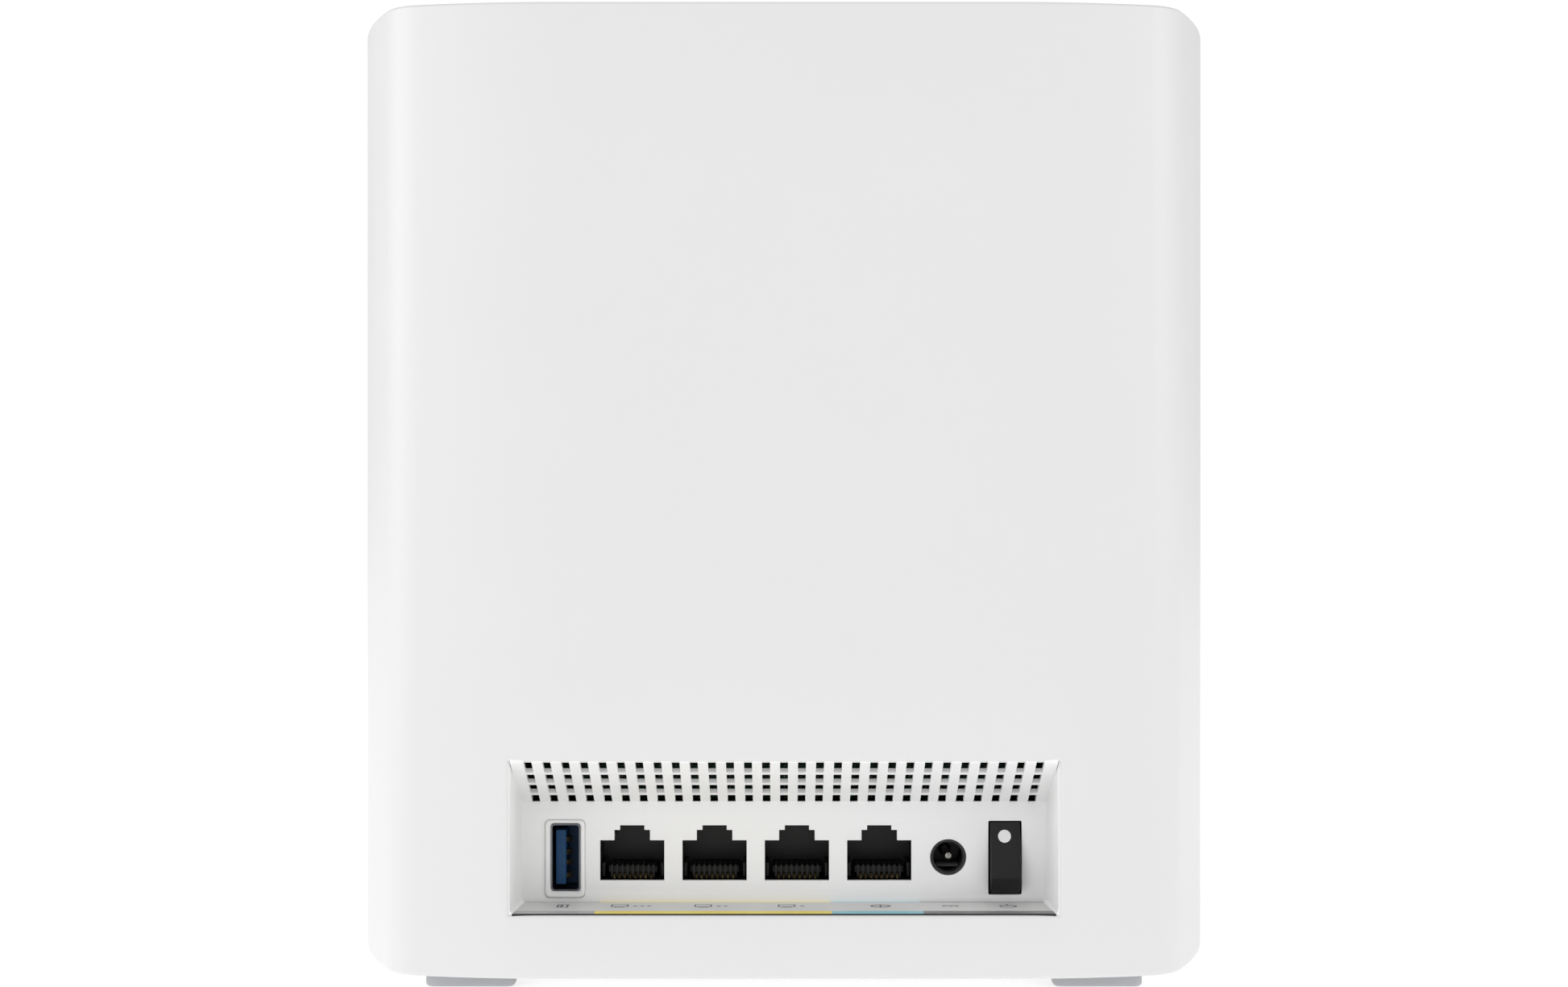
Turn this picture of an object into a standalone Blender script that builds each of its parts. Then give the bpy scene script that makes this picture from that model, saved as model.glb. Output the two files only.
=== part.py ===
"""A desktop mesh router: a white tower with rounded sides and a recessed port bay low at the rear.

Frame: origin under the middle of the feet, +Z up, the port bay faces -Y, +X is to its right.
Sizes are in millimetres; the shape functions below turn them into Blender's metres.
"""

import math

import bmesh
import bpy
from mathutils import Matrix, Vector

# ---------------------------------------------------------------- driving dimensions
MM = 0.001
GAP = 0.3  # clearance that separate solids keep from each other

HEIGHT = 185.7
WALL = 2.2
EDGE_ROUND = 0.8  # top and bottom rims of the casing
BODY_LOW = 3.0  # underside of the casing above the table
FLOOR_INSET = 4.0  # from the casing's side to its floor opening
SPLIT_Y = 15.0  # where the rear and front shells meet

# Plan of the casing: a flat rear face that runs through tangent arcs into a broad, bowed front.
FACE_Y = -37.5
FLAT_HALF = 42.0
PLAN_ARCS = ((120.0, 13.0, 4), (9.5, 53.0, 6), (114.0, 24.0, 4), (14.0, 80.0, 8))  # radius, degrees, steps
FRONT_TURN = 180.0 - sum(turn for _, turn, _ in PLAN_ARCS)
FRONT_STEPS = 3

# Port bay: a box-shaped recess under a slanted, slotted ceiling.
BAY_DEPTH = 17.0
WALL_Y = FACE_Y + BAY_DEPTH  # front face of the port wall
BAY_HALF_RIM = 51.4
BAY_HALF_BACK = 50.8
BEZEL_HALF = 52.6
BAY_TOP_RIM = 43.56
BAY_TOP_BACK = 34.25
SHELF_Z = 15.0
SHELF_FALL = 0.4  # the shelf's fall from the rim to the port wall
SHEET = 0.9
LIP = 0.5  # the casing's edge over the ceiling sheet
PORT_WALL = 1.2
SLOPE = (BAY_TOP_RIM - BAY_TOP_BACK) / BAY_DEPTH
SLOPE_ANGLE = math.atan(SLOPE)

# Vent slots in the ceiling, measured from the rim along the slope.
VENT_COLUMNS = 14  # on each side of the middle one
VENT_PITCH = 3.37
VENT_SPREAD = 8.1e-5  # the pitch grows a little towards the ends
VENT_WIDTH = 1.5
VENT_ROWS = ((-0.5, 4.9), (6.5, 9.95), (11.65, 15.25), (16.85, 19.6))

# Ports, left to right on the port wall.
PORT_Z = 23.3
BOARD_TOP = 16.6
BOARD_THICK = 1.6
USB_X = -42.3
RJ45_PITCH = 15.95
RJ45_FIRST_X = -29.4
RJ45_STEPS = ((6.215, 18.8, 26.6), (3.44, 26.6, 28.6), (2.35, 28.6, 29.5))
DC_X = 31.8
DC_HOLE_RADIUS = 3.5
SWITCH_X = 42.8
SWITCH_OPEN = (3.22, 7.25)  # half width and half height of the opening
SWITCH_HALF_HEIGHT = 10.3

# Rocker: a sector about its pivot, symmetric between its two end positions.
ROCKER_PIVOT_Y = WALL_Y + 6.0
ROCKER_RADIUS = 9.0
ROCKER_TIP_OUT = 24.8  # degrees below the pivot's level, the end that stands out
ROCKER_TIP_IN = 48.6  # degrees above it, the end that is pressed in
ROCKER_SKIRT = 27.2  # degrees that each end reaches round behind its tip
ROCKER_HALF_WIDTH = 2.93
AXLE_RADIUS = 0.8
HUB_RADIUS = 2.0

# Feet and buttons in the base.
FOOT_TOP = 3.0
FOOT_X = (51.2, 68.2)
FOOT_Y = (24.0, 29.5)
SCREW_AT = (60.6, 19.6)
SCREW_HOLE = 1.65
SCREW_SINK = 3.0
PLATE_LOW = 3.3
PLATE_TOP = 5.5
BASE_VENTS = 13
BASE_VENT_PITCH = 5.0
BASE_VENT_WIDTH = 2.0
BASE_VENT_Y = (-16.0, -1.0)
WPS_AT = (22.0, 12.0)
WPS_RADIUS = 4.0
RESET_AT = (-22.0, 12.0)
RESET_RADIUS = 2.0
BUTTON_TOP = 10.0

# Boards and antennas.
PORT_BOARD_X = 54.5
PORT_BOARD_Y = (-18.9, 22.0)
BOARD_SCREW_AT = (51.0, 17.5)
MAIN_BOARD_X = 62.0
MAIN_BOARD_Z = (24.0, 165.0)
MAIN_BOARD_Y = (8.0, 9.6)
CHASSIS_Y = (12.3, 15.3)
LIGHT_Z = 20.7


# ---------------------------------------------------------------- materials
def finish(name, colour, roughness, metallic=0.0):
    """A Principled material of one colour."""
    material = bpy.data.materials.new(name)
    material.use_nodes = True
    shader = material.node_tree.nodes["Principled BSDF"]
    shader.inputs["Base Color"].default_value = (*colour, 1.0)
    shader.inputs["Roughness"].default_value = roughness
    shader.inputs["Metallic"].default_value = metallic
    return material


# ---------------------------------------------------------------- shape functions
def clear_scene():
    for item in list(bpy.data.objects):
        bpy.data.objects.remove(item)


def collection(name):
    made = bpy.data.collections.new(name)
    bpy.context.scene.collection.children.link(made)
    return made


def add_object(name, mesh, helper=False):
    """An object for this mesh, as a part or as a hidden cutter."""
    item = bpy.data.objects.new(name, mesh)
    if helper:
        HELPERS.objects.link(item)
        item.hide_render = True
        item.display_type = "WIRE"
    else:
        PARTS.objects.link(item)
    return item


def boxes(name, spans, helper=False, turn=None):
    """One object of boxes, each given as ((x0, x1), (y0, y1), (z0, z1)) in millimetres."""
    shape = bmesh.new()
    for span in spans:
        size = [high - low for low, high in span]
        centre = [(high + low) / 2 for low, high in span]
        place = Matrix.Translation(Vector(centre) * MM) @ Matrix.Diagonal((*[s * MM for s in size], 1))
        bmesh.ops.create_cube(shape, size=1.0, matrix=place)
    if turn is not None:
        bmesh.ops.transform(shape, matrix=turn, verts=shape.verts)
    mesh = bpy.data.meshes.new(name)
    shape.to_mesh(mesh)
    shape.free()
    return add_object(name, mesh, helper)


def box(name, x, y, z, helper=False):
    return boxes(name, [(x, y, z)], helper)


AXIS_TURN = {
    "Z": Matrix.Identity(4),
    "X": Matrix.Rotation(math.pi / 2, 4, "Y"),
    "Y": Matrix.Rotation(-math.pi / 2, 4, "X"),
}


def cylinder(name, centre, radius, along, axis="Z", sides=24, helper=False):
    """A round bar, its centre on the other two axes, from along[0] to along[1] on its axis."""
    length = (along[1] - along[0]) * MM
    middle = list(centre)
    middle.insert("XYZ".index(axis), (along[0] + along[1]) / 2)
    shape = bmesh.new()
    bmesh.ops.create_cone(
        shape,
        cap_ends=True,
        segments=sides,
        radius1=radius * MM,
        radius2=radius * MM,
        depth=length,
        matrix=Matrix.Translation(Vector(middle) * MM) @ AXIS_TURN[axis],
    )
    mesh = bpy.data.meshes.new(name)
    shape.to_mesh(mesh)
    shape.free()
    item = add_object(name, mesh, helper)
    mesh.shade_smooth()
    mesh.set_sharp_from_angle(angle=math.radians(40))
    return item


PLANE_TURN = {
    "XY": Matrix.Identity(4),
    "XZ": Matrix.Rotation(math.pi / 2, 4, "X"),
    "YZ": Matrix(((0, 0, 1, 0), (1, 0, 0, 0), (0, 1, 0, 0), (0, 0, 0, 1))),
}


def prism(name, outline, along, plane="XY", helper=False, holes=()):
    """A flat outline in the named plane, made thick from along[0] to along[1] across it."""
    curve = bpy.data.curves.new(name, "CURVE")
    curve.dimensions = "2D"
    curve.fill_mode = "BOTH"
    curve.extrude = (along[1] - along[0]) / 2 * MM
    for loop in (outline, *holes):
        spline = curve.splines.new("POLY")
        spline.points.add(len(loop) - 1)
        for point, (u, v) in zip(spline.points, loop):
            point.co = (u * MM, v * MM, 0, 1)
        spline.use_cyclic_u = True
    flat = bpy.data.objects.new(name + "_outline", curve)
    bpy.context.scene.collection.objects.link(flat)
    graph = bpy.context.evaluated_depsgraph_get()
    mesh = bpy.data.meshes.new_from_object(flat.evaluated_get(graph))
    bpy.data.objects.remove(flat)
    mesh.name = name
    middle = (along[0] + along[1]) / 2 * MM
    # The XZ plane's own normal is -Y, so a height along it is turned round.
    lift = Matrix.Translation((0, 0, -middle if plane == "XZ" else middle))
    shape = bmesh.new()
    shape.from_mesh(mesh)
    bmesh.ops.remove_doubles(shape, verts=shape.verts, dist=1e-6)
    bmesh.ops.transform(shape, matrix=PLANE_TURN[plane] @ lift, verts=shape.verts)
    bmesh.ops.recalc_face_normals(shape, faces=shape.faces)
    shape.to_mesh(mesh)
    shape.free()
    return add_object(name, mesh, helper)


def boolean(item, other, operation):
    step = item.modifiers.new(f"{operation.lower()}_{other.name}", "BOOLEAN")
    step.operation = operation
    step.object = other
    step.solver = "EXACT"
    return item


def cut(item, other):
    return boolean(item, other, "DIFFERENCE")


def join(item, other):
    return boolean(item, other, "UNION")


def soften(item, width, segments=2, angle=50):
    step = item.modifiers.new("soft_edges", "BEVEL")
    step.width = width * MM
    step.segments = segments
    step.limit_method = "ANGLE"
    step.angle_limit = math.radians(angle)
    return item


def paint(item, material):
    item.data.materials.clear()
    item.data.materials.append(material)
    return item


def rounded_rectangle(centre, half, radius, steps=4):
    """Corner points of a rectangle with round corners, anticlockwise."""
    points = []
    for corner, (sx, sy) in enumerate(((1, 1), (-1, 1), (-1, -1), (1, -1))):
        for k in range(steps + 1):
            angle = math.pi / 2 * (corner + k / steps)
            u = centre[0] + sx * (half[0] - radius) + radius * math.cos(angle)
            v = centre[1] + sy * (half[1] - radius) + radius * math.sin(angle)
            points.append((u, v))
    return points


def plan_arcs():
    """The right half of the plan as arcs, rear to front: (centre x, centre y, radius, start, end, steps)."""
    x = FLAT_HALF
    y = FACE_Y
    heading = 0.0
    arcs = []
    for radius, turn, steps in PLAN_ARCS:
        a = math.radians(heading)
        b = math.radians(heading + turn)
        arcs.append((x - radius * math.sin(a), y + radius * math.cos(a), radius, a, b, steps))
        x += radius * (math.sin(b) - math.sin(a))
        y += radius * (math.cos(a) - math.cos(b))
        heading += turn
    radius = x / math.sin(math.radians(FRONT_TURN))
    front = y - radius * math.cos(math.radians(FRONT_TURN))
    arcs.append((0.0, front, radius, math.radians(heading), math.pi, FRONT_STEPS))
    return arcs


ARCS = plan_arcs()


def plan_outline(inset=0.0):
    """The casing's plan, moved inwards by inset, anticlockwise from above."""
    right = [(FLAT_HALF, FACE_Y + inset)]
    for cx, cy, radius, start, end, steps in ARCS:
        for k in range(1, steps + 1):
            angle = start + (end - start) * k / steps
            right.append((cx + (radius - inset) * math.sin(angle), cy - (radius - inset) * math.cos(angle)))
    return right + [(-x, y) for x, y in reversed(right[:-1])]


def rear_y(x, inset=0.0):
    """Where the rear face is at this x, out to the end of its gently bowed part."""
    cx, cy, radius = ARCS[0][:3]
    bow = max(0.0, abs(x) - cx)
    return cy - math.sqrt((radius - inset) ** 2 - bow**2)


def front_y(x, inset=0.0):
    cx, cy, radius = ARCS[-1][:3]
    return cy + math.sqrt((radius - inset) ** 2 - (x - cx) ** 2)


def side_x(y, inset=0.0):
    cx, cy, radius = ARCS[2][:3]
    return cx + math.sqrt((radius - inset) ** 2 - (y - cy) ** 2)


def casing_block(name):
    """The casing's outer form: the plan made upright, with its top and bottom rims rounded."""
    item = prism(name, plan_outline(), (BODY_LOW, HEIGHT))
    shape = bmesh.new()
    shape.from_mesh(item.data)
    rim = [edge for edge in shape.edges if len({round(face.normal.z, 2) for face in edge.link_faces}) > 1]
    bmesh.ops.bevel(shape, geom=rim, offset=EDGE_ROUND * MM, segments=2, profile=0.5, affect="EDGES")
    shape.to_mesh(item.data)
    shape.free()
    item.data.shade_smooth()
    item.data.set_sharp_from_angle(angle=math.radians(40))
    return item


def shelf_z(y):
    """Height of the bay's shelf at this depth."""
    return SHELF_Z - SHELF_FALL * (y - FACE_Y) / BAY_DEPTH


def ceiling_z(y):
    """Height of the bay's slanted ceiling at this depth."""
    return BAY_TOP_RIM - SLOPE * (y - FACE_Y)


# ---------------------------------------------------------------- casing
def screw_posts(shell, side):
    """Two posts for the base screws, each tied to the wall by a rib. side is -1 rear, 1 front."""
    for sign in (-1, 1):
        x = sign * SCREW_AT[0]
        y = side * SCREW_AT[1]
        label = f"{'rear' if side < 0 else 'front'}_{'left' if sign < 0 else 'right'}"
        wall_y = rear_y(x, WALL - 1.0) if side < 0 else front_y(x, WALL - 1.0)
        join(shell, cylinder(f"post_{label}", (x, y), 3.5, (PLATE_TOP + GAP, 24), helper=True))
        rib_y = sorted((y + side * 2.5, wall_y))
        join(shell, box(f"post_rib_{label}", (x - 1, x + 1), rib_y, (12, 23), helper=True))
        cut(shell, cylinder(f"post_bore_{label}", (x, y), SCREW_HOLE, (0, 15), helper=True, sides=16))


def half_shell(name, side):
    """The rear (side -1) or front (side 1) shell of the casing."""
    shell = casing_block(name)
    inside = (BODY_LOW + WALL, HEIGHT - WALL)
    cut(shell, prism(name + "_hollow", plan_outline(WALL), inside, helper=True))
    away = (SPLIT_Y + side * GAP / 2, SPLIT_Y - side * 80)
    cut(shell, box(name + "_other_half", (-100, 100), sorted(away), (-10, 200), helper=True))
    cut(shell, prism(name + "_floor_opening", plan_outline(FLOOR_INSET), (0, 8), helper=True))
    return shell


def rear_shell():
    shell = half_shell("rear_shell", -1)
    # The bay's opening: a thin lip over the ceiling sheet, and a lower edge that falls away inwards.
    rim_y = rear_y(BAY_HALF_RIM)
    lip_y = rim_y + LIP
    sheet_over = SHEET * math.hypot(1, SLOPE) + GAP
    back_y = FACE_Y + 4
    opening = (
        (FACE_Y - 3, SHELF_Z + 0.1),
        (rim_y + 0.05, SHELF_Z + 0.1),
        (rim_y + 1.4, SHELF_Z - 1.7),
        (back_y, SHELF_Z - 1.7),
        (back_y, ceiling_z(back_y) + sheet_over),
        (lip_y, ceiling_z(lip_y) + sheet_over),
        (lip_y, BAY_TOP_RIM),
        (FACE_Y - 3, BAY_TOP_RIM),
    )
    cut(shell, prism("bay_opening", opening, (-BAY_HALF_RIM, BAY_HALF_RIM), "YZ", helper=True))
    screw_posts(shell, -1)
    return shell


def front_shell():
    shell = half_shell("front_shell", 1)
    window = rounded_rectangle((0, LIGHT_Z), (7.3, 1.5), 1.45)
    cut(shell, prism("light_window", window, (30, 40), "XZ", helper=True))
    screw_posts(shell, 1)
    # Locating tabs reach behind the rear shell's edge.
    edge_y = SPLIT_Y - 3.5
    inner_x = side_x(edge_y, WALL)
    for sign in (-1, 1):
        for k, z in enumerate((45, 95, 145)):
            reach = sorted((sign * (inner_x - 1.8), sign * (inner_x - GAP)))
            root = sorted((sign * (inner_x - 1.8), sign * (inner_x + 0.8)))
            tab = boxes(
                f"tab_{'left' if sign < 0 else 'right'}_{k}",
                [(reach, (edge_y, SPLIT_Y + 2.0), (z - 6, z + 6))],
                helper=True,
            )
            foot = box(tab.name + "_root", root, (SPLIT_Y + 1.0, SPLIT_Y + 5.0), (z - 6, z + 6), helper=True)
            join(shell, tab)
            join(shell, foot)
    return shell


def base_plate():
    """The base cover with its vents, its button holes and the stands of the port board."""
    plate = prism("base_plate", plan_outline(FLOOR_INSET + GAP), (PLATE_LOW, PLATE_TOP))
    through = (0, PLATE_TOP + 4)
    vents = []
    for k in range(BASE_VENTS):
        x = BASE_VENT_PITCH * (k - (BASE_VENTS - 1) / 2)
        vents.append(((x - BASE_VENT_WIDTH / 2, x + BASE_VENT_WIDTH / 2), BASE_VENT_Y, through))
    cut(plate, boxes("base_vents", vents, helper=True))
    for label, at, radius in (("wps", WPS_AT, WPS_RADIUS), ("reset", RESET_AT, RESET_RADIUS)):
        cut(plate, cylinder(label + "_hole", at, radius + GAP, through, helper=True))
    for sx in (-1, 1):
        for sy in (-1, 1):
            at = (sx * SCREW_AT[0], sy * SCREW_AT[1])
            label = f"{sx}_{sy}".replace("-", "m")
            sink = (0, PLATE_TOP - 0.8)
            cut(plate, cylinder("screw_hole_" + label, at, SCREW_HOLE, through, helper=True, sides=16))
            cut(plate, cylinder("screw_sink_" + label, at, SCREW_SINK, sink, helper=True, sides=16))
    stand = (PLATE_TOP - 1, BOARD_TOP - BOARD_THICK - GAP)
    for label, x, y in board_supports():
        join(plate, cylinder("stand_" + label, (x, y), 3.0, stand, helper=True))
        cut(plate, cylinder("stand_bore_" + label, (x, y), 1.5, (8, 20), helper=True, sides=16))
    return plate


def board_supports():
    """Where the port board stands on the base plate: (name, x, y)."""
    x, y = BOARD_SCREW_AT
    return (("left", -x, y), ("right", x, y), ("rear_left", -x, -14.5), ("rear_right", x, -14.5))


def foot(name, sx, sy):
    """A rubber pad under one corner."""
    x = sum(FOOT_X) / 2
    y = sum(FOOT_Y) / 2
    half = ((FOOT_X[1] - FOOT_X[0]) / 2, (FOOT_Y[1] - FOOT_Y[0]) / 2)
    item = prism(name, rounded_rectangle((sx * x, sy * y), half, 1.8), (0, FOOT_TOP))
    return soften(item, 0.6, segments=1, angle=60)


def light_pipe():
    """The bar that carries the status lamp's light to a slot in the front face."""
    window = rounded_rectangle((0, LIGHT_Z), (7.0, 1.2), 1.15)
    return prism("light_pipe", window, (20.3, front_y(7.0) - 0.1), "XZ")


# ---------------------------------------------------------------- port bezel
def rj45_outline(x, grow=0.0):
    """The stepped opening of one RJ45 socket, its latch side up."""
    (w0, low, z1), (w1, _, z2), (w2, _, z3) = RJ45_STEPS
    right = [
        (w0 + grow, low - grow),
        (w0 + grow, z1 + grow),
        (w1 + grow, z1 + grow),
        (w1 + grow, z2 + grow),
        (w2 + grow, z2 + grow),
        (w2 + grow, z3 + grow),
    ]
    left = [(-u, v) for u, v in reversed(right)]
    return [(x + u, v) for u, v in right + left]


def rj45_places():
    names = ("lan_3", "lan_2", "lan_1", "wan")
    return [(name, RJ45_FIRST_X + RJ45_PITCH * k) for k, name in enumerate(names)]


def vent_x(k):
    return VENT_PITCH * k * (1 + VENT_SPREAD * k * k)


def vent_cutter():
    """Slots square to the slanted ceiling, in rows along it."""
    spans = []
    for low, high in VENT_ROWS:
        for k in range(-VENT_COLUMNS, VENT_COLUMNS + 1):
            x = vent_x(k)
            spans.append(((x - VENT_WIDTH / 2, x + VENT_WIDTH / 2), (low, high), (-1.5, 1.6)))
    rim = Matrix.Translation((0, FACE_Y * MM, BAY_TOP_RIM * MM))
    return boxes("vent_slots", spans, helper=True, turn=rim @ Matrix.Rotation(-SLOPE_ANGLE, 4, "X"))


def port_bezel():
    """The bay's lining: slotted ceiling, side walls, shelf and the wall with the port openings."""
    back_y = WALL_Y + PORT_WALL
    low = SHELF_Z - 1.2
    over = SHEET * math.hypot(1, SLOPE)
    side_y = rear_y(BEZEL_HALF, WALL) + GAP + 0.1
    shelf_y = FACE_Y + 2.0
    sheet_y = rear_y(BAY_HALF_RIM) + LIP + GAP
    body = (
        (side_y, low),
        (back_y, low),
        (back_y, ceiling_z(back_y) + over),
        (side_y, ceiling_z(side_y) + over),
    )
    bezel = prism("port_bezel", body, (-BEZEL_HALF, BEZEL_HALF), "YZ")
    nose = (
        (shelf_y, low),
        (side_y + 1, low),
        (side_y + 1, ceiling_z(side_y + 1) + over - 0.05),
        (sheet_y, ceiling_z(sheet_y) + over),
        (sheet_y, ceiling_z(sheet_y) - 1),
        (shelf_y, SHELF_Z + 2),
    )
    half_nose = BAY_HALF_RIM - GAP - 0.3
    join(bezel, prism("bezel_nose", nose, (-half_nose, half_nose), "YZ", helper=True))
    # The recess itself, a little narrower at the back than at the rim.
    out_y = FACE_Y - 3
    recess = (
        (out_y, shelf_z(out_y)),
        (WALL_Y, shelf_z(WALL_Y)),
        (WALL_Y, BAY_TOP_BACK),
        (out_y, ceiling_z(out_y)),
    )
    hollow = prism("bay_recess", recess, (-BAY_HALF_BACK, BAY_HALF_BACK), "YZ", helper=True)
    draft = (BAY_HALF_RIM - BAY_HALF_BACK) / BAY_DEPTH
    for vert in hollow.data.vertices:
        vert.co.x += math.copysign(draft * (WALL_Y * MM - vert.co.y), vert.co.x)
    cut(bezel, hollow)
    cut(bezel, vent_cutter())
    across = (WALL_Y - 2, back_y + 2)
    for name, x in rj45_places():
        cut(bezel, prism(f"opening_{name}", rj45_outline(x), across, "XZ", helper=True))
    usb = rounded_rectangle((USB_X, PORT_Z), (3.15, 6.85), 0.8)
    cut(bezel, prism("opening_usb", usb, across, "XZ", helper=True))
    cut(bezel, cylinder("opening_dc", (DC_X, PORT_Z), DC_HOLE_RADIUS, across, "Y", helper=True))
    opening = rounded_rectangle((SWITCH_X, PORT_Z), SWITCH_OPEN, 0.3, steps=1)
    cut(bezel, prism("opening_switch", opening, across, "XZ", helper=True))
    # Behind its face the wall is hollowed to the rocker's sweep.
    pivot = (ROCKER_PIVOT_Y, PORT_Z)
    reach = (SWITCH_X - SWITCH_OPEN[0] + 0.01, SWITCH_X + SWITCH_OPEN[0] - 0.01)
    cut(bezel, cylinder("switch_relief", pivot, ROCKER_RADIUS + GAP, reach, "X", sides=48, helper=True))
    return bezel


def port_label():
    """The printed film, which lies on the shelf in front of the ports."""
    half = BAY_HALF_BACK - 0.5
    return box("port_label", (-half, half), (FACE_Y + 2.2, WALL_Y - 0.4), (SHELF_Z + GAP, SHELF_Z + 0.45))


# ---------------------------------------------------------------- sockets
def rj45_jack(name, x):
    """A network socket on the port board, with its stepped mouth."""
    jack = box(f"{name}_jack", (x - 7.8, x + 7.8), (WALL_Y + 1.5, 2.0), (BOARD_TOP + GAP, 30.4))
    cavity = rj45_outline(x, grow=0.15)
    return cut(jack, prism(f"{name}_cavity", cavity, (WALL_Y, -8.0), "XZ", helper=True))


def rj45_contacts(name, x):
    """Eight spring wires that rise from the socket's mouth to a bar at its back."""
    front = Vector((0, -18.3, 19.3))
    back = Vector((0, -9.2, 21.6))
    run = back - front
    angle = math.atan2(run.z, run.y)
    wires = []
    for k in range(8):
        u = x + 1.02 * (k - 3.5)
        wires.append(((u - 0.22, u + 0.22), (0, run.length), (-0.18, 0.18)))
    place = Matrix.Translation(front * MM) @ Matrix.Rotation(angle, 4, "X")
    comb = box(f"{name}_contacts", (x - 4.3, x + 4.3), (-9.6, -8.5), (21.1, 22.05))
    return join(comb, boxes(f"{name}_wires", wires, helper=True, turn=place))


def usb_socket(finishes):
    """A USB-A socket on edge: pressed shell, tongue and four contact leaves."""
    outer = rounded_rectangle((USB_X, PORT_Z + 0.1), (2.85, 6.5), 0.6)
    inner = rounded_rectangle((USB_X, PORT_Z + 0.1), (2.5, 6.15), 0.35)
    paint(prism("usb_shell", outer, (WALL_Y - 0.1, -4.0), "XZ", holes=(inner,)), finishes["nickel"])
    block = box("usb_insulator", (USB_X - 2.2, USB_X + 2.2), (-8.0, -3.7), (PORT_Z - 5.7, PORT_Z + 5.9))
    upright = (PORT_Z - 5.5, PORT_Z + 5.1)
    tongue = box("usb_tongue", (-44.25, -42.3), (WALL_Y + 1.2, -7.0), upright, helper=True)
    paint(join(block, tongue), finishes["usb_blue"])
    # Four leaves that bulge out of the tongue's side, on a common strip.
    strip = box("usb_contacts", (-41.95, -41.55), (-9.1, -8.4), (PORT_Z - 4.2, PORT_Z + 4.2))
    leaves = []
    for dz in (-3.5, -1.0, 1.0, 3.5):
        z = PORT_Z + dz
        leaves.append(((-41.95, -41.65), (-13.0, -8.8), (z - 0.4, z + 0.4)))
    join(strip, boxes("usb_leaves", leaves, helper=True))
    paint(strip, finishes["gold"])


def dc_jack(finishes):
    """The barrel socket for the power plug: body, centre pin and side spring."""
    body = box("dc_jack_body", (DC_X - 4.5, DC_X + 4.5), (WALL_Y + 1.5, -5.0), (BOARD_TOP + GAP, 29.5))
    centre = (DC_X, PORT_Z)
    cut(body, cylinder("dc_bore", centre, 3.4, (WALL_Y, -8.5), "Y", helper=True))
    cut(body, cylinder("dc_pin_bore", centre, 1.3, (-12, 0), "Y", helper=True, sides=16))
    paint(body, finishes["black"])
    pin = cylinder("dc_jack_pin", centre, 0.9, (WALL_Y + 1.4, -5.2), "Y", sides=16)
    paint(soften(pin, 0.35, segments=2), finishes["nickel"])
    leaf = box("dc_jack_spring", (DC_X - 1.6, DC_X + 1.6), (-17.0, -9.0), (PORT_Z - 2.7, PORT_Z - 2.35))
    paint(leaf, finishes["nickel"])


def switch_body():
    """The switch housing: a slot for the rocker, with a cross bore for its axle."""
    x = SWITCH_X
    high = SWITCH_HALF_HEIGHT
    body = box("switch_body", (x - 4.9, x + 4.9), (WALL_Y + 1.5, -8.5), (PORT_Z - high, PORT_Z + high))
    across = (x - ROCKER_HALF_WIDTH - GAP, x + ROCKER_HALF_WIDTH + GAP)
    upright = (PORT_Z - high + 0.9, PORT_Z + high - 0.9)
    cut(body, box("switch_cavity", across, (WALL_Y, -10.0), upright, helper=True))
    pivot = (ROCKER_PIVOT_Y, PORT_Z)
    bore = AXLE_RADIUS + GAP
    return cut(body, cylinder("pivot_bore", pivot, bore, (x - 9, x + 9), "X", helper=True, sides=16))


def rocker():
    """The rocker in its rest position, upper end pressed in, as a sector about its pivot."""
    pivot = bpy.data.objects.new("rocker_pivot", None)
    PARTS.objects.link(pivot)
    pivot.location = Vector((SWITCH_X, ROCKER_PIVOT_Y, PORT_Z)) * MM
    upper = (ROCKER_TIP_IN + ROCKER_SKIRT, ROCKER_TIP_IN)
    lower = (-ROCKER_TIP_OUT, -ROCKER_TIP_OUT - ROCKER_SKIRT)
    outline = []
    for start, end in (upper, lower):
        for k in range(5):
            angle = math.radians(start + (end - start) * k / 4)
            outline.append((-ROCKER_RADIUS * math.cos(angle), ROCKER_RADIUS * math.sin(angle)))
    middle = (ROCKER_TIP_IN - ROCKER_TIP_OUT) / 2
    for turn in (110, 180, 250):
        angle = math.radians(middle - turn)
        outline.append((-HUB_RADIUS * math.cos(angle), HUB_RADIUS * math.sin(angle)))
    across = (-ROCKER_HALF_WIDTH, ROCKER_HALF_WIDTH)
    item = prism("power_rocker", outline, across, "YZ")
    axle_half = ROCKER_HALF_WIDTH + 1.3
    axle = cylinder("rocker_axle", (0, 0), AXLE_RADIUS, (-axle_half, axle_half), "X", helper=True, sides=16)
    axle.parent = pivot
    item.parent = pivot
    return join(item, axle)


# ---------------------------------------------------------------- boards and what is on them
def port_board():
    """The lying board that carries the sockets, notched for the switch."""
    level = (BOARD_TOP - BOARD_THICK, BOARD_TOP)
    board = box("port_board", (-PORT_BOARD_X, PORT_BOARD_X), PORT_BOARD_Y, level)
    notch = box("switch_notch", (SWITCH_X - 5.3, SWITCH_X + 5.3), (-25, -8.1), (10, 20), helper=True)
    cut(board, notch)
    for label, x, y in board_supports():
        cut(board, cylinder("board_hole_" + label, (x, y), 1.6, (10, 20), helper=True, sides=16))
    return board


def main_board():
    """The upright board with the processor and the radios."""
    low, high = MAIN_BOARD_Z
    outline = rounded_rectangle((0, (low + high) / 2), (MAIN_BOARD_X, (high - low) / 2), 3.0, steps=2)
    return prism("main_board", outline, MAIN_BOARD_Y, "XZ")


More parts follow.
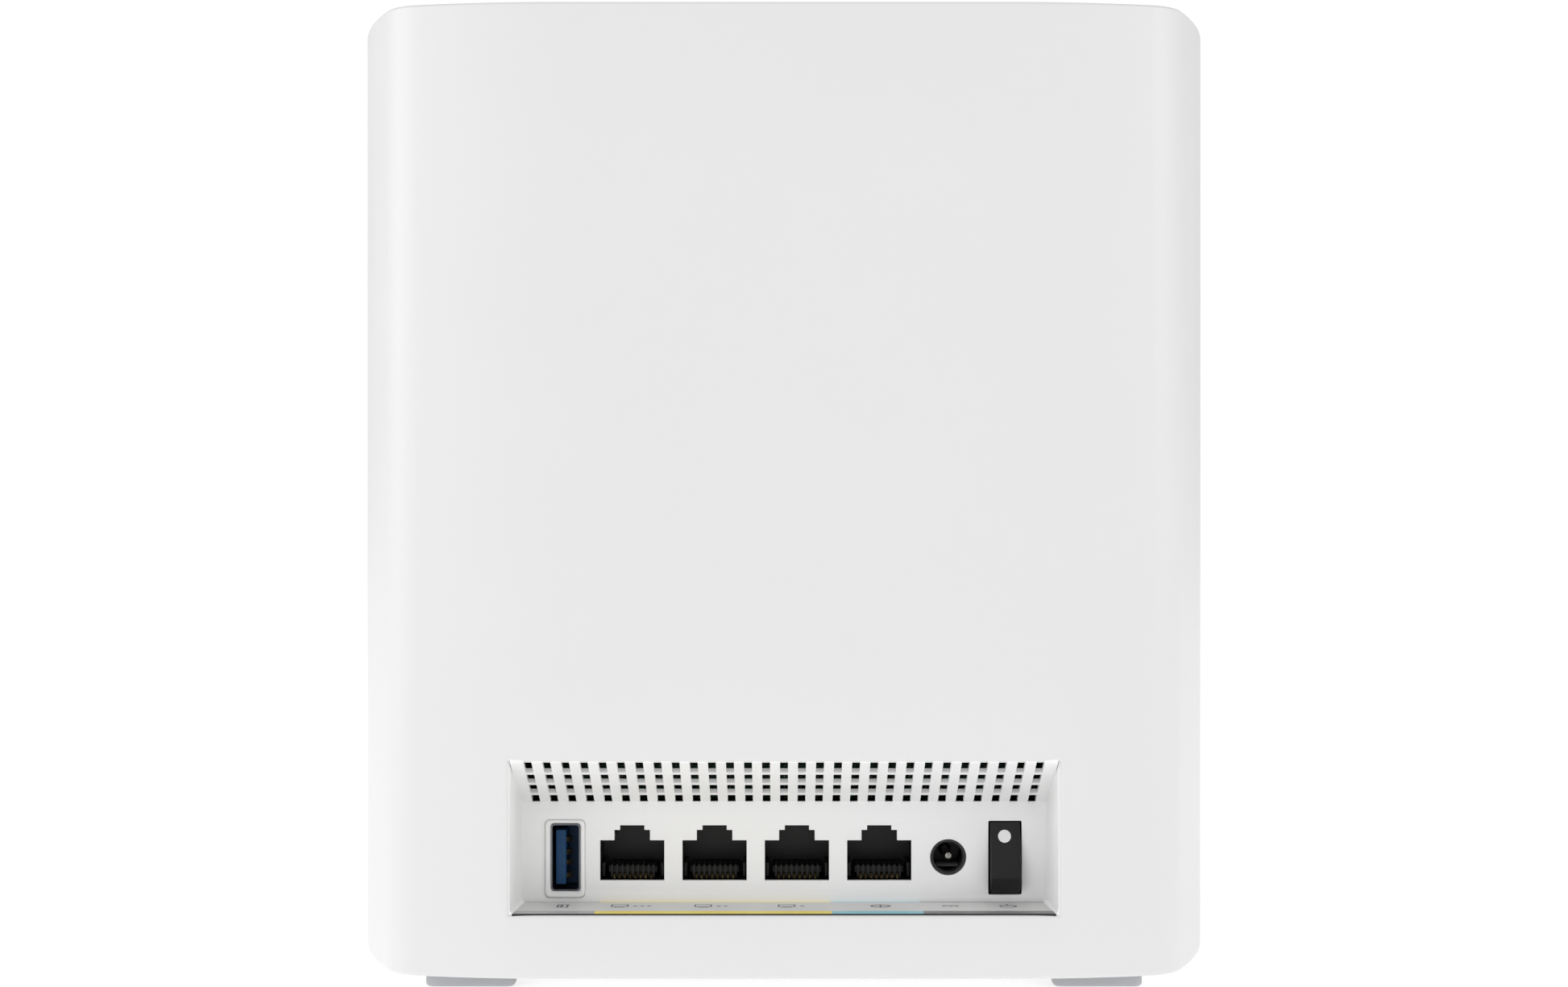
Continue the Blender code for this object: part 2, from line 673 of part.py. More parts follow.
def heat_sink():
    """A base plate with upright fins, which the air from the base rises through."""
    sink = box("heat_sink", (-36, 36), (3.0, 5.0), (50, 148))
    fins = []
    for k in range(13):
        x = -34.8 + 5.8 * k
        fins.append(((x - 0.7, x + 0.7), (-14, 3.5), (51, 147)))
    return join(sink, boxes("heat_sink_fins", fins, helper=True))


def shield_can(name, x, z):
    """A pressed tin lid, open towards the board."""
    front = MAIN_BOARD_Y[1] + GAP
    can = box(name, x, (front, front + 2.0), z)
    inner = [(low + 0.4, high - 0.4) for low, high in (x, z)]
    return cut(can, box(name + "_inside", inner[0], (front - 1, front + 1.6), inner[1], helper=True))


def chassis():
    """The inner frame: two uprights, a top bar, legs to the base plate and antenna holders."""
    outer = rounded_rectangle((0, 103.5), (72, 74.5), 6, steps=2)
    window = rounded_rectangle((0, 103.5), (65, 67.0), 3, steps=2)
    frame = prism("chassis", outer, CHASSIS_Y, "XZ", holes=(window[::-1],))
    extra = []
    for sign in (-1, 1):
        extra.append((sorted((sign * 64, sign * 70)), CHASSIS_Y, (PLATE_TOP + GAP, 31)))
        extra.append((sorted((sign * 58, sign * 66)), CHASSIS_Y, (88, 96)))
        for z in (64, 98, 120, 154):
            extra.append((sorted((sign * 71, sign * 75)), (4.0, 15.0), (z - 2, z + 2)))
    join(frame, boxes("chassis_extras", extra, helper=True))
    return frame


def antennas(finishes):
    """Four printed antennas on the chassis sides, each with its coaxial lead to the main board."""
    for side, sign in (("left", -1), ("right", 1)):
        for level, z in (("lower", 81.0), ("upper", 137.0)):
            plate = box(
                f"antenna_{side}_{level}",
                sorted((sign * 75.4, sign * 76.2)),
                (-6, 7),
                (z - 21, z + 21),
            )
            paint(plate, finishes["board"])
            route = (
                (74.5, 0.0, z),
                (73.8, 1.2, z - 3.0),
                (72.4, 4.5, z - 8.0),
                (70.0, 8.6, z - 12.0),
                (66.6, 10.9, z - 14.0),
                (62.5, 11.2, z - 14.6),
                (58.5, 10.9, z - 14.8),
            )
            points = [(sign * x, y, height) for x, y, height in route]
            paint(lead(f"lead_{side}_{level}", points), finishes["lead"])


def lead(name, route):
    """A coaxial lead along a smooth curve through the route's points."""
    guide = bpy.data.curves.new(name, "CURVE")
    guide.dimensions = "3D"
    guide.bevel_depth = 0.6 * MM
    guide.bevel_resolution = 1
    guide.use_fill_caps = True
    spline = guide.splines.new("POLY")
    points = smooth_points([Vector(p) for p in route], 2)
    spline.points.add(len(points) - 1)
    for point, place in zip(spline.points, points):
        point.co = (*(place * MM), 1)
    item = bpy.data.objects.new(name, guide)
    PARTS.objects.link(item)
    return item


def smooth_points(route, steps):
    """Catmull-Rom points through the route, its ends included."""
    ends = [2 * route[0] - route[1], *route, 2 * route[-1] - route[-2]]
    points = []
    for k in range(1, len(ends) - 2):
        a, b, c, d = ends[k - 1 : k + 3]
        square = 2 * a - 5 * b + 4 * c - d
        cube = 3 * b - a - 3 * c + d
        for step in range(steps):
            t = step / steps
            points.append(0.5 * (2 * b + (c - a) * t + square * t**2 + cube * t**3))
    return [*points, route[-1]]


# ---------------------------------------------------------------- buttons and screws
def base_button(name, at, face, radius, flange, stem):
    """A button that rests on the base plate by its flange, its face at the given height."""
    seat = PLATE_TOP + GAP
    button = cylinder(name, at, radius, (face, seat + 0.5))
    join(button, cylinder(name + "_flange", at, flange, (seat, seat + 1.2), helper=True))
    join(button, cylinder(name + "_stem", at, stem, (seat + 0.6, BUTTON_TOP), helper=True, sides=16))
    return button


def tact_switch(name, at):
    """A small push switch under the port board, its plunger over the button's stem."""
    x, y = at
    top = BOARD_TOP - BOARD_THICK - GAP
    body = box(name, (x - 3, x + 3), (y - 3, y + 3), (top - 3.3, top))
    plunger = (BUTTON_TOP + 1.0, top - 2)
    return join(body, cylinder(name + "_plunger", at, 1.7, plunger, helper=True, sides=16))


def screw(name, at, head, shank):
    """A pan head screw along Z: head and shank each give (radius, low, high)."""
    item = cylinder(name, at, head[0], head[1:], sides=16)
    return join(item, cylinder(name + "_shank", at, shank[0], shank[1:], helper=True, sides=12))


def screws(finishes):
    for sx, across in ((-1, "left"), (1, "right")):
        for sy, along in ((-1, "rear"), (1, "front")):
            at = (sx * SCREW_AT[0], sy * SCREW_AT[1])
            made = screw(f"base_screw_{along}_{across}", at, (2.6, 3.4, 4.4), (1.3, 4.1, 13.0))
            paint(made, finishes["zinc"])
        at = (sx * BOARD_SCREW_AT[0], BOARD_SCREW_AT[1])
        head = (2.5, BOARD_TOP + GAP, BOARD_TOP + GAP + 1.7)
        paint(screw(f"board_screw_{across}", at, head, (1.15, 9.5, BOARD_TOP + 1)), finishes["zinc"])


# ---------------------------------------------------------------- the whole object
clear_scene()
PARTS = collection("wireless_router")
HELPERS = collection("cutters")

FINISHES = {
    "white": finish("case_white", (0.80, 0.80, 0.79), 0.42),
    "rubber": finish("foot_rubber", (0.28, 0.29, 0.31), 0.8),
    "label": finish("label_strip", (0.72, 0.66, 0.35), 0.5),
    "light": finish("light_pipe_clear", (0.85, 0.88, 0.90), 0.3),
    "black": finish("socket_black", (0.02, 0.02, 0.022), 0.5),
    "rocker": finish("rocker_black", (0.03, 0.03, 0.033), 0.38),
    "usb_blue": finish("usb_blue", (0.05, 0.20, 0.48), 0.45),
    "nickel": finish("nickel", (0.72, 0.70, 0.66), 0.3, 1.0),
    "gold": finish("gold_contact", (0.83, 0.66, 0.34), 0.3, 1.0),
    "board": finish("board_green", (0.05, 0.22, 0.13), 0.5),
    "chip": finish("chip_black", (0.03, 0.03, 0.03), 0.6),
    "pad": finish("thermal_pad", (0.45, 0.55, 0.62), 0.8),
    "aluminium": finish("sink_aluminium", (0.70, 0.71, 0.72), 0.4, 1.0),
    "tin": finish("shield_tin", (0.62, 0.62, 0.60), 0.35, 1.0),
    "frame": finish("chassis_grey", (0.30, 0.31, 0.32), 0.6),
    "lead": finish("lead_grey", (0.12, 0.12, 0.13), 0.55),
    "button": finish("button_grey", (0.55, 0.56, 0.57), 0.5),
    "reset": finish("reset_red", (0.55, 0.06, 0.05), 0.5),
    "zinc": finish("zinc_screw", (0.60, 0.60, 0.62), 0.35, 1.0),
}

paint(rear_shell(), FINISHES["white"])
paint(front_shell(), FINISHES["white"])
paint(base_plate(), FINISHES["white"])
paint(port_bezel(), FINISHES["white"])
paint(port_label(), FINISHES["label"])
paint(light_pipe(), FINISHES["light"])
for x_sign, x_name in ((-1, "left"), (1, "right")):
    for y_sign, y_name in ((-1, "rear"), (1, "front")):
        paint(foot(f"foot_{y_name}_{x_name}", x_sign, y_sign), FINISHES["rubber"])

for port_name, port_x in rj45_places():
    paint(rj45_jack(port_name, port_x), FINISHES["black"])
    paint(rj45_contacts(port_name, port_x), FINISHES["gold"])
usb_socket(FINISHES)
dc_jack(FINISHES)
paint(switch_body(), FINISHES["black"])
paint(rocker(), FINISHES["rocker"])

paint(port_board(), FINISHES["board"])
paint(main_board(), FINISHES["board"])
paint(box("board_connector", (-20, 20), (2.6, 7.7), (BOARD_TOP + GAP, 31)), FINISHES["black"])
paint(box("processor", (-10, 10), (6.5, 7.7), (88, 108)), FINISHES["chip"])
paint(box("memory_chip", (16, 26), (6.5, 7.7), (90, 104)), FINISHES["chip"])
paint(box("thermal_pad", (-10, 10), (5.3, 6.2), (88, 108)), FINISHES["pad"])
paint(heat_sink(), FINISHES["aluminium"])
paint(shield_can("shield_can_low", (-52, -6), (40, 78)), FINISHES["tin"])
paint(shield_can("shield_can_mid", (6, 52), (40, 78)), FINISHES["tin"])
paint(shield_can("shield_can_high", (-30, 30), (104, 150)), FINISHES["tin"])
paint(box("heat_spreader", (-54, 54), (12.6, 14.2), (40, 152)), FINISHES["aluminium"])
paint(box("status_led", (-2.5, 2.5), (16.5, 20.0), (BOARD_TOP + GAP, LIGHT_Z + 1.0)), FINISHES["light"])
paint(cylinder("input_capacitor", (38, 16), 4.0, (BOARD_TOP + GAP, 28)), FINISHES["chip"])
paint(chassis(), FINISHES["frame"])
antennas(FINISHES)

paint(base_button("wps_button", WPS_AT, PLATE_LOW + 0.1, WPS_RADIUS, 5.2, 2.0), FINISHES["button"])
paint(base_button("reset_button", RESET_AT, PLATE_LOW + 0.8, RESET_RADIUS, 3.2, 1.3), FINISHES["reset"])
paint(tact_switch("wps_tact_switch", WPS_AT), FINISHES["black"])
paint(tact_switch("reset_tact_switch", RESET_AT), FINISHES["black"])
screws(FINISHES)
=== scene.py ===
import math

import bmesh
import bpy
from mathutils import Matrix, Vector


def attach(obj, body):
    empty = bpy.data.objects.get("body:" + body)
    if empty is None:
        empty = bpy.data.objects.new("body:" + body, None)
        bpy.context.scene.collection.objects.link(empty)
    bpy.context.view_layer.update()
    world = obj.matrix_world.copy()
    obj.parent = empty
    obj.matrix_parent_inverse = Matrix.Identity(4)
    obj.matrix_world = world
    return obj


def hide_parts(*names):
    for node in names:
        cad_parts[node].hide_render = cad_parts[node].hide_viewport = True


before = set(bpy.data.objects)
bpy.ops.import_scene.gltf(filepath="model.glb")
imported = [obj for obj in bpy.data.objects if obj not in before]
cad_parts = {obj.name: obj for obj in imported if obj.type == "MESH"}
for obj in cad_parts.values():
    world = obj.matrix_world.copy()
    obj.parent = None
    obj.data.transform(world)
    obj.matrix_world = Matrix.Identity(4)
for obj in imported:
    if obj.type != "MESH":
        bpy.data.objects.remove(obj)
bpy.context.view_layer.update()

# Lengths are in metres, as in the frame; MM turns the millimetres that a maker would quote into them.
MM = 0.001
ROUTER = "router_body"


# ---------------------------------------------------------------- measures
TOP_Z = 185.7
LOW_Z = 3.0
SPLIT_Y = 15.0  # where the rear and front halves of the casing meet
SEAM = 0.08  # half the width of the line between them
EDGE_ROUND = 0.7
FLOOR_INSET = 4.0
WALL = 2.0

# Plan of the casing: a flat rear face, then tangent arcs (radius, degrees, steps) round to the bowed front.
FACE_Y = -37.5
FLAT_HALF = 42.0
PLAN_ARCS = ((120.0, 13.0, 12), (9.5, 53.0, 18), (114.0, 24.0, 14), (14.0, 80.0, 22))
FRONT_STEPS = 12

BAY_HALF = 51.4
BAY_HALF_BACK = 50.8
BAY_LOW = 14.9
BAY_TOP = 43.45
BAY_DEPTH = 17.0
WALL_Y = FACE_Y + BAY_DEPTH
CEILING_RIM = 43.46
CEILING_BACK = 34.15
SLOPE = (CEILING_RIM - CEILING_BACK) / BAY_DEPTH
SHEET = 0.9
SLOT_ROWS = ((-0.2, 4.8), (5.8, 9.95), (10.95, 15.1), (16.1, 20.2))
RIM_ROUND = 0.6
FLANGE = 2.0
LIP = 0.75
SHELF_FRONT = 15.2
SHELF_BACK = 14.65
SHELF_Y = FACE_Y + 0.75

PORT_Z = 23.3
RJ45 = {"lan_3": -29.4, "lan_2": -13.45, "lan_1": 2.5, "wan": 18.45}
RJ45_STEPS = ((6.215, 18.8, 26.6), (3.44, 26.6, 28.6), (2.35, 28.6, 29.5))
USB_X = -42.3
DC_X = 31.8
SWITCH_X = 42.8
PIVOT_Y = WALL_Y + 6.0
ROCKER_RADIUS = 9.0
HUB_RADIUS = 2.0
UPPER_TIP = 48.6  # degrees above the pivot, at rest
LOWER_TIP = -24.8


# ---------------------------------------------------------------- shader groups
def new_group(name, inputs, outputs):
    """An empty shader group with the named sockets: (name, type, default) in, (name, type) out."""
    tree = bpy.data.node_groups.new(name, "ShaderNodeTree")
    for label, kind, default in inputs:
        socket = tree.interface.new_socket(label, in_out="INPUT", socket_type=kind)
        socket.default_value = default
    for label, kind in outputs:
        tree.interface.new_socket(label, in_out="OUTPUT", socket_type=kind)
    return tree, tree.nodes.new("NodeGroupInput"), tree.nodes.new("NodeGroupOutput")


def node(tree, kind, values=(), **settings):
    """A node with its settings, and with values on its numbered or named inputs."""
    made = tree.nodes.new(kind)
    for key, value in settings.items():
        setattr(made, key, value)
    for key, value in dict(values).items():
        made.inputs[key].default_value = value
    return made


def math_node(tree, operation, a, b=0.0, clamp=False):
    made = node(tree, "ShaderNodeMath", operation=operation, use_clamp=clamp)
    for socket, value in zip(made.inputs, (a, b)):
        if isinstance(value, (int, float)):
            socket.default_value = value
        else:
            tree.links.new(value, socket)
    return made.outputs[0]


def mix_colour(tree, factor, a, b):
    made = node(tree, "ShaderNodeMix", data_type="RGBA")
    for socket, value in ((made.inputs["Factor"], factor), (made.inputs[6], a), (made.inputs[7], b)):
        if isinstance(value, bpy.types.NodeSocket):
            tree.links.new(value, socket)
        else:
            socket.default_value = value
    return made.outputs[2]


def moulded_group():
    """Moulded plastic: a spark-eroded grain as height, and faint unevenness of tone and gloss."""
    tree, start, end = new_group(
        "moulded_surface",
        (
            ("Vector", "NodeSocketVector", (0, 0, 0)),
            ("Color", "NodeSocketColor", (0.8, 0.8, 0.8, 1)),
            ("Grain per mm", "NodeSocketFloat", 4.0),
            ("Unevenness", "NodeSocketFloat", 0.02),
            ("Roughness", "NodeSocketFloat", 0.45),
        ),
        (("Color", "NodeSocketColor"), ("Roughness", "NodeSocketFloat"), ("Height", "NodeSocketFloat")),
    )
    scale = math_node(tree, "MULTIPLY", start.outputs["Grain per mm"], 1000.0)
    grain = node(tree, "ShaderNodeTexNoise", {"Detail": 3.0, "Roughness": 0.55})
    tree.links.new(start.outputs["Vector"], grain.inputs["Vector"])
    tree.links.new(scale, grain.inputs["Scale"])
    tone = node(tree, "ShaderNodeTexNoise", {"Scale": 35.0, "Detail": 2.0, "Roughness": 0.5})
    tree.links.new(start.outputs["Vector"], tone.inputs["Vector"])
    centred = math_node(tree, "SUBTRACT", tone.outputs["Fac"], 0.5)
    shift = math_node(tree, "MULTIPLY", centred, start.outputs["Unevenness"])
    level = math_node(tree, "ADD", shift, 1.0)
    tint = node(tree, "ShaderNodeVectorMath", operation="SCALE")
    tree.links.new(start.outputs["Color"], tint.inputs[0])
    tree.links.new(level, tint.inputs["Scale"])
    tree.links.new(tint.outputs[0], end.inputs["Color"])
    rough = math_node(tree, "MULTIPLY", centred, 0.12)
    tree.links.new(math_node(tree, "ADD", rough, start.outputs["Roughness"]), end.inputs["Roughness"])
    tree.links.new(grain.outputs["Fac"], end.inputs["Height"])
    return tree


def metal_group():
    """Plated or rolled metal: fine lines along one axis and a few soft stains."""
    tree, start, end = new_group(
        "metal_surface",
        (
            ("Vector", "NodeSocketVector", (0, 0, 0)),
            ("Color", "NodeSocketColor", (0.7, 0.7, 0.7, 1)),
            ("Roughness", "NodeSocketFloat", 0.3),
            ("Line direction", "NodeSocketVector", (1.0, 0.05, 1.0)),
        ),
        (("Color", "NodeSocketColor"), ("Roughness", "NodeSocketFloat"), ("Height", "NodeSocketFloat")),
    )
    stretch = node(tree, "ShaderNodeVectorMath", operation="MULTIPLY")
    tree.links.new(start.outputs["Vector"], stretch.inputs[0])
    tree.links.new(start.outputs["Line direction"], stretch.inputs[1])
    lines = node(tree, "ShaderNodeTexNoise", {"Scale": 4000.0, "Detail": 2.0})
    tree.links.new(stretch.outputs[0], lines.inputs["Vector"])
    stains = node(tree, "ShaderNodeTexNoise", {"Scale": 300.0, "Detail": 3.0})
    tree.links.new(start.outputs["Vector"], stains.inputs["Vector"])
    amount = math_node(tree, "MULTIPLY", math_node(tree, "SUBTRACT", stains.outputs["Fac"], 0.5), 0.3)
    tint = node(tree, "ShaderNodeVectorMath", operation="SCALE")
    tree.links.new(start.outputs["Color"], tint.inputs[0])
    tree.links.new(math_node(tree, "ADD", amount, 1.0), tint.inputs["Scale"])
    tree.links.new(tint.outputs[0], end.inputs["Color"])
    both = math_node(tree, "ADD", amount, math_node(tree, "MULTIPLY", lines.outputs["Fac"], 0.15))
    tree.links.new(math_node(tree, "ADD", both, start.outputs["Roughness"]), end.inputs["Roughness"])
    tree.links.new(lines.outputs["Fac"], end.inputs["Height"])
    return tree


MOULDED = moulded_group()
METAL = metal_group()


# ---------------------------------------------------------------- materials
def base_material(name, metallic=0.0, **sockets):
    """A material with its Principled shader and object coordinates, its links left to the caller."""
    material = bpy.data.materials.new(name)
    material.use_nodes = True
    tree = material.node_tree
    shader = tree.nodes["Principled BSDF"]
    shader.inputs["Metallic"].default_value = metallic
    for key, value in sockets.items():
        shader.inputs[key.replace("_", " ")].default_value = value
    place = tree.nodes.new("ShaderNodeTexCoord")
    return material, tree, shader, place.outputs["Object"]


def surface(name, group, colour, bump, distance=0.02, metallic=0.0, colour_link=None, sockets=None, **ways):
    """A material whose colour, roughness and relief come from one of the shader groups."""
    material, tree, shader, place = base_material(name, metallic, **(sockets or {}))
    effect = node(tree, "ShaderNodeGroup", node_tree=group)
    tree.links.new(place, effect.inputs["Vector"])
    effect.inputs["Color"].default_value = (*colour, 1)
    for key, value in ways.items():
        effect.inputs[key.replace("_", " ")].default_value = value
    if colour_link is not None:
        tree.links.new(colour_link(tree, place), effect.inputs["Color"])
    tree.links.new(effect.outputs["Color"], shader.inputs["Base Color"])
    tree.links.new(effect.outputs["Roughness"], shader.inputs["Roughness"])
    relief = node(tree, "ShaderNodeBump", {"Strength": bump, "Distance": distance * MM})
    tree.links.new(effect.outputs["Height"], relief.inputs["Height"])
    tree.links.new(relief.outputs["Normal"], shader.inputs["Normal"])
    return material


def plastic(name, colour, roughness=0.45, grain=4.0, bump=0.25, uneven=0.03, colour_link=None, **sockets):
    inputs = {"Grain_per_mm": grain, "Unevenness": uneven, "Roughness": roughness}
    return surface(name, MOULDED, colour, bump, colour_link=colour_link, sockets=sockets, **inputs)


def metal(name, colour, roughness=0.25, bump=0.15, lines=(1.0, 0.05, 1.0)):
    inputs = {"Roughness": roughness, "Line_direction": lines}
    return surface(name, METAL, colour, bump, distance=0.01, metallic=1.0, **inputs)


def strip_colours(tree, place):
    """The printed film on the shelf: coloured stretches along X, shown only in a front and a back band."""
    split = node(tree, "ShaderNodeSeparateXYZ")
    tree.links.new(place, split.inputs[0])
    along = math_node(tree, "ADD", math_node(tree, "MULTIPLY", split.outputs["X"], 10.0), 0.5)
    ramp = node(tree, "ShaderNodeValToRGB")
    ramp.color_ramp.interpolation = "CONSTANT"
    stretches = ((-35.8, FILM_YELLOW), (8.8, FILM_BLUE), (25.8, FILM_DARK))
    ramp.color_ramp.elements[0].color = FILM_GREY
    ramp.color_ramp.elements[1].position = stretches[0][0] * MM * 10 + 0.5
    ramp.color_ramp.elements[1].color = stretches[0][1]
    for start, colour in stretches[1:]:
        ramp.color_ramp.elements.new(start * MM * 10 + 0.5).color = colour
    tree.links.new(along, ramp.inputs["Fac"])
    y = split.outputs["Y"]
    front = math_node(tree, "LESS_THAN", y, (FACE_Y + 4.1) * MM)
    back = math_node(tree, "GREATER_THAN", y, (WALL_Y - 0.8) * MM)
    band = math_node(tree, "ADD", front, back, clamp=True)
    return mix_colour(tree, band, FILM_PLAIN, ramp.outputs["Color"])


def board_colours(tree, place):
    """Solder mask over copper tracks: a lighter green where tracks and pours run."""
    squares = {"feature": "DISTANCE_TO_EDGE", "distance": "MANHATTAN"}
    cells = node(tree, "ShaderNodeTexVoronoi", {"Scale": 420.0}, **squares)
    tree.links.new(place, cells.inputs["Vector"])
    tracks = math_node(tree, "LESS_THAN", cells.outputs["Distance"], 0.09)
    pads = node(tree, "ShaderNodeTexVoronoi", {"Scale": 900.0, "Randomness": 0.3})
    tree.links.new(place, pads.inputs["Vector"])
    dots = math_node(tree, "LESS_THAN", pads.outputs["Distance"], 0.12)
    green = mix_colour(tree, tracks, (0.015, 0.10, 0.05, 1), (0.03, 0.17, 0.09, 1))
    return mix_colour(tree, dots, green, (0.62, 0.52, 0.30, 1))


FILM_PLAIN = (0.66, 0.66, 0.655, 1)
FILM_GREY = (0.42, 0.42, 0.42, 1)
FILM_YELLOW = (0.86, 0.70, 0.15, 1)
FILM_BLUE = (0.27, 0.56, 0.64, 1)
FILM_DARK = (0.20, 0.20, 0.205, 1)

MATERIALS = {
    "case": plastic("case_white_satin", (0.672, 0.672, 0.671), 0.40, grain=5.0, bump=0.22, uneven=0.012),
    # The casing's inner skin, the same white plastic as its outside, coloured near black: painted shade
    # inside the closed case.
    "inside": plastic("case_inside_matt", (0.10, 0.10, 0.10), 0.7, grain=3.0, bump=0.3),
    # A lighter copy of the casing white for the bay's walls, shelf, ceiling and USB frame: painted light
    # lifting the shade in the recess.
    "bay": plastic("bay_white_painted_light", (0.86, 0.86, 0.858), 0.45, grain=5.0, bump=0.22, uneven=0.012),
    "rubber": plastic("foot_rubber_grey", (0.47, 0.475, 0.495), 0.75, grain=2.5, bump=0.35, uneven=0.08),
    "film": plastic("shelf_film_print", (0.7, 0.7, 0.7), 0.5, 8.0, bump=0.1, colour_link=strip_colours),
    "ink": plastic("film_ink_grey", (0.12, 0.12, 0.125), 0.5, grain=8.0, bump=0.1),
    # Near-black for the block at the shelf's front edge: painted shade for the gap there.
    "gap": plastic("gap_shade_black", (0.02, 0.02, 0.02), 0.8),
    "socket": plastic("socket_black_nylon", (0.014, 0.014, 0.015), 0.5, grain=3.0, bump=0.3, uneven=0.2),
    "comb": plastic("comb_black_nylon", (0.011, 0.011, 0.011), 0.6, grain=3.0, Specular_IOR_Level=0.33),
    "usb_shell": metal("usb_shell_steel", (0.17, 0.175, 0.19), 0.3),
    "rocker": plastic(
        "rocker_black", (0.007, 0.007, 0.0073), 0.42, bump=0.2, uneven=0.1, Specular_IOR_Level=0.36
    ),
    "mark": plastic("rocker_mark_white", (0.82, 0.82, 0.82), 0.45),
    "blue": plastic("usb_tongue_blue", (0.005, 0.045, 0.125), 0.5, uneven=0.1, Specular_IOR_Level=0.3),
    "nickel": metal("nickel_plate", (0.66, 0.65, 0.62), 0.24),
    "gold": metal("contact_gold", (0.83, 0.64, 0.34), 0.25, lines=(1.0, 0.1, 0.1)),
    "aluminium": metal("sink_aluminium", (0.62, 0.63, 0.64), 0.36, bump=0.3, lines=(1.0, 1.0, 0.03)),
    "tin": metal("shield_tin", (0.58, 0.58, 0.56), 0.32),
    "zinc": metal("screw_zinc", (0.56, 0.57, 0.60), 0.3),
    "board": plastic("board_solder_mask", (0.02, 0.12, 0.06), 0.38, colour_link=board_colours),
    "chip": plastic("chip_mould_black", (0.022, 0.022, 0.023), 0.55, grain=8.0, bump=0.4),
    "pad": plastic("thermal_pad_silicone", (0.36, 0.47, 0.56), 0.8, grain=1.5, bump=0.5, uneven=0.1),
    "chassis": plastic("chassis_grey_abs", (0.10, 0.10, 0.105), 0.6, grain=3.0, bump=0.3),
    "coax": plastic("coax_jacket", (0.03, 0.03, 0.032), 0.5, grain=3.0),
    "grey_button": plastic("wps_button_grey", (0.42, 0.43, 0.44), 0.5),
    "red_button": plastic("reset_button_red", (0.50, 0.03, 0.03), 0.5),
    "lens": plastic("light_window_frosted", (0.82, 0.85, 0.87), 0.35, Transmission_Weight=0.35, IOR=1.49),
    "label": plastic("base_label_blank", (0.70, 0.70, 0.71), 0.4, grain=8.0, bump=0.05),
}


# ---------------------------------------------------------------- making pieces
def finished(name, mesh, material, body=ROUTER, replaces=(), sharp=35):
    """A piece at the origin with its place in its mesh, riding on its body."""
    mesh.name = name
    item = bpy.data.objects.new(name, mesh)
    bpy.context.scene.collection.objects.link(item)
    if material is not None:
        mesh.materials.clear()
        mesh.materials.append(MATERIALS[material])
    mesh.shade_smooth()
    mesh.set_sharp_from_angle(angle=math.radians(sharp))
    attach(item, body)
    if replaces:
        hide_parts(*replaces)
    return item


def mesh_of(shape):
    """A mesh from a bmesh in millimetres, with its doubles merged and its faces outward."""
    bmesh.ops.remove_doubles(shape, verts=shape.verts, dist=1e-4)
    bmesh.ops.recalc_face_normals(shape, faces=shape.faces)
    bmesh.ops.transform(shape, matrix=Matrix.Diagonal((MM, MM, MM, 1)), verts=shape.verts)
    mesh = bpy.data.meshes.new("mesh")
    shape.to_mesh(mesh)
    shape.free()
    return mesh


def add_box(shape, x, y, z, round_by=0.0):
    """A box in millimetres, with round edges where asked for."""
    place = Matrix.Translation(((x[0] + x[1]) / 2, (y[0] + y[1]) / 2, (z[0] + z[1]) / 2))
    size = Matrix.Diagonal((abs(x[1] - x[0]), abs(y[1] - y[0]), abs(z[1] - z[0]), 1))
    made = bmesh.ops.create_cube(shape, size=1.0, matrix=place @ size)
    if round_by > 0:
        edges = list({edge for vert in made["verts"] for edge in vert.link_edges})
        bmesh.ops.bevel(shape, geom=edges, offset=round_by, segments=2, profile=0.5, affect="EDGES")


PLANES = {
    "XY": Matrix.Identity(4),
    "XZ": Matrix(((1, 0, 0, 0), (0, 0, 1, 0), (0, 1, 0, 0), (0, 0, 0, 1))),
    "YZ": Matrix(((0, 0, 1, 0), (1, 0, 0, 0), (0, 1, 0, 0), (0, 0, 0, 1))),
}


def plate(outline, along, plane="XZ", holes=(), edge=0.0, steps=2):
    """A bmesh plate in millimetres: an outline with holes, thick along the plane's normal, edges rounded."""
    curve = bpy.data.curves.new("plate", "CURVE")
    curve.dimensions = "2D"
    curve.fill_mode = "BOTH"
    curve.extrude = (along[1] - along[0]) / 2 - edge
    curve.bevel_depth = edge
    curve.bevel_resolution = steps
    curve.offset = -edge
    for loop in (outline, *holes):
        spline = curve.splines.new("POLY")
        spline.points.add(len(loop) - 1)
        for point, (u, v) in zip(spline.points, loop):
            point.co = (u, v, 0, 1)
        spline.use_cyclic_u = True
    flat = bpy.data.objects.new("plate", curve)
    bpy.context.scene.collection.objects.link(flat)
    graph = bpy.context.evaluated_depsgraph_get()
    mesh = bpy.data.meshes.new_from_object(flat.evaluated_get(graph))
    bpy.data.objects.remove(flat)
    shape = bmesh.new()
    shape.from_mesh(mesh)
    bpy.data.meshes.remove(mesh)
    bmesh.ops.remove_doubles(shape, verts=shape.verts, dist=1e-4)
    lift = Matrix.Translation((0, 0, (along[0] + along[1]) / 2))
    bmesh.ops.transform(shape, matrix=PLANES[plane] @ lift, verts=shape.verts)
    return shape


def merged(*shapes):
    """Several bmeshes as one."""
    whole = bmesh.new()
    for shape in shapes:
        mesh = bpy.data.meshes.new("part")
        shape.to_mesh(mesh)
        shape.free()
        whole.from_mesh(mesh)
        bpy.data.meshes.remove(mesh)
    return whole


def rounded_rectangle(centre, half, radius, steps=5):
    points = []
    for corner, (sx, sy) in enumerate(((1, 1), (-1, 1), (-1, -1), (1, -1))):
        for k in range(steps + 1):
            angle = math.pi / 2 * (corner + k / steps)
            u = centre[0] + sx * (half[0] - radius) + radius * math.cos(angle)
            v = centre[1] + sy * (half[1] - radius) + radius * math.sin(angle)
            points.append((u, v))
    return points


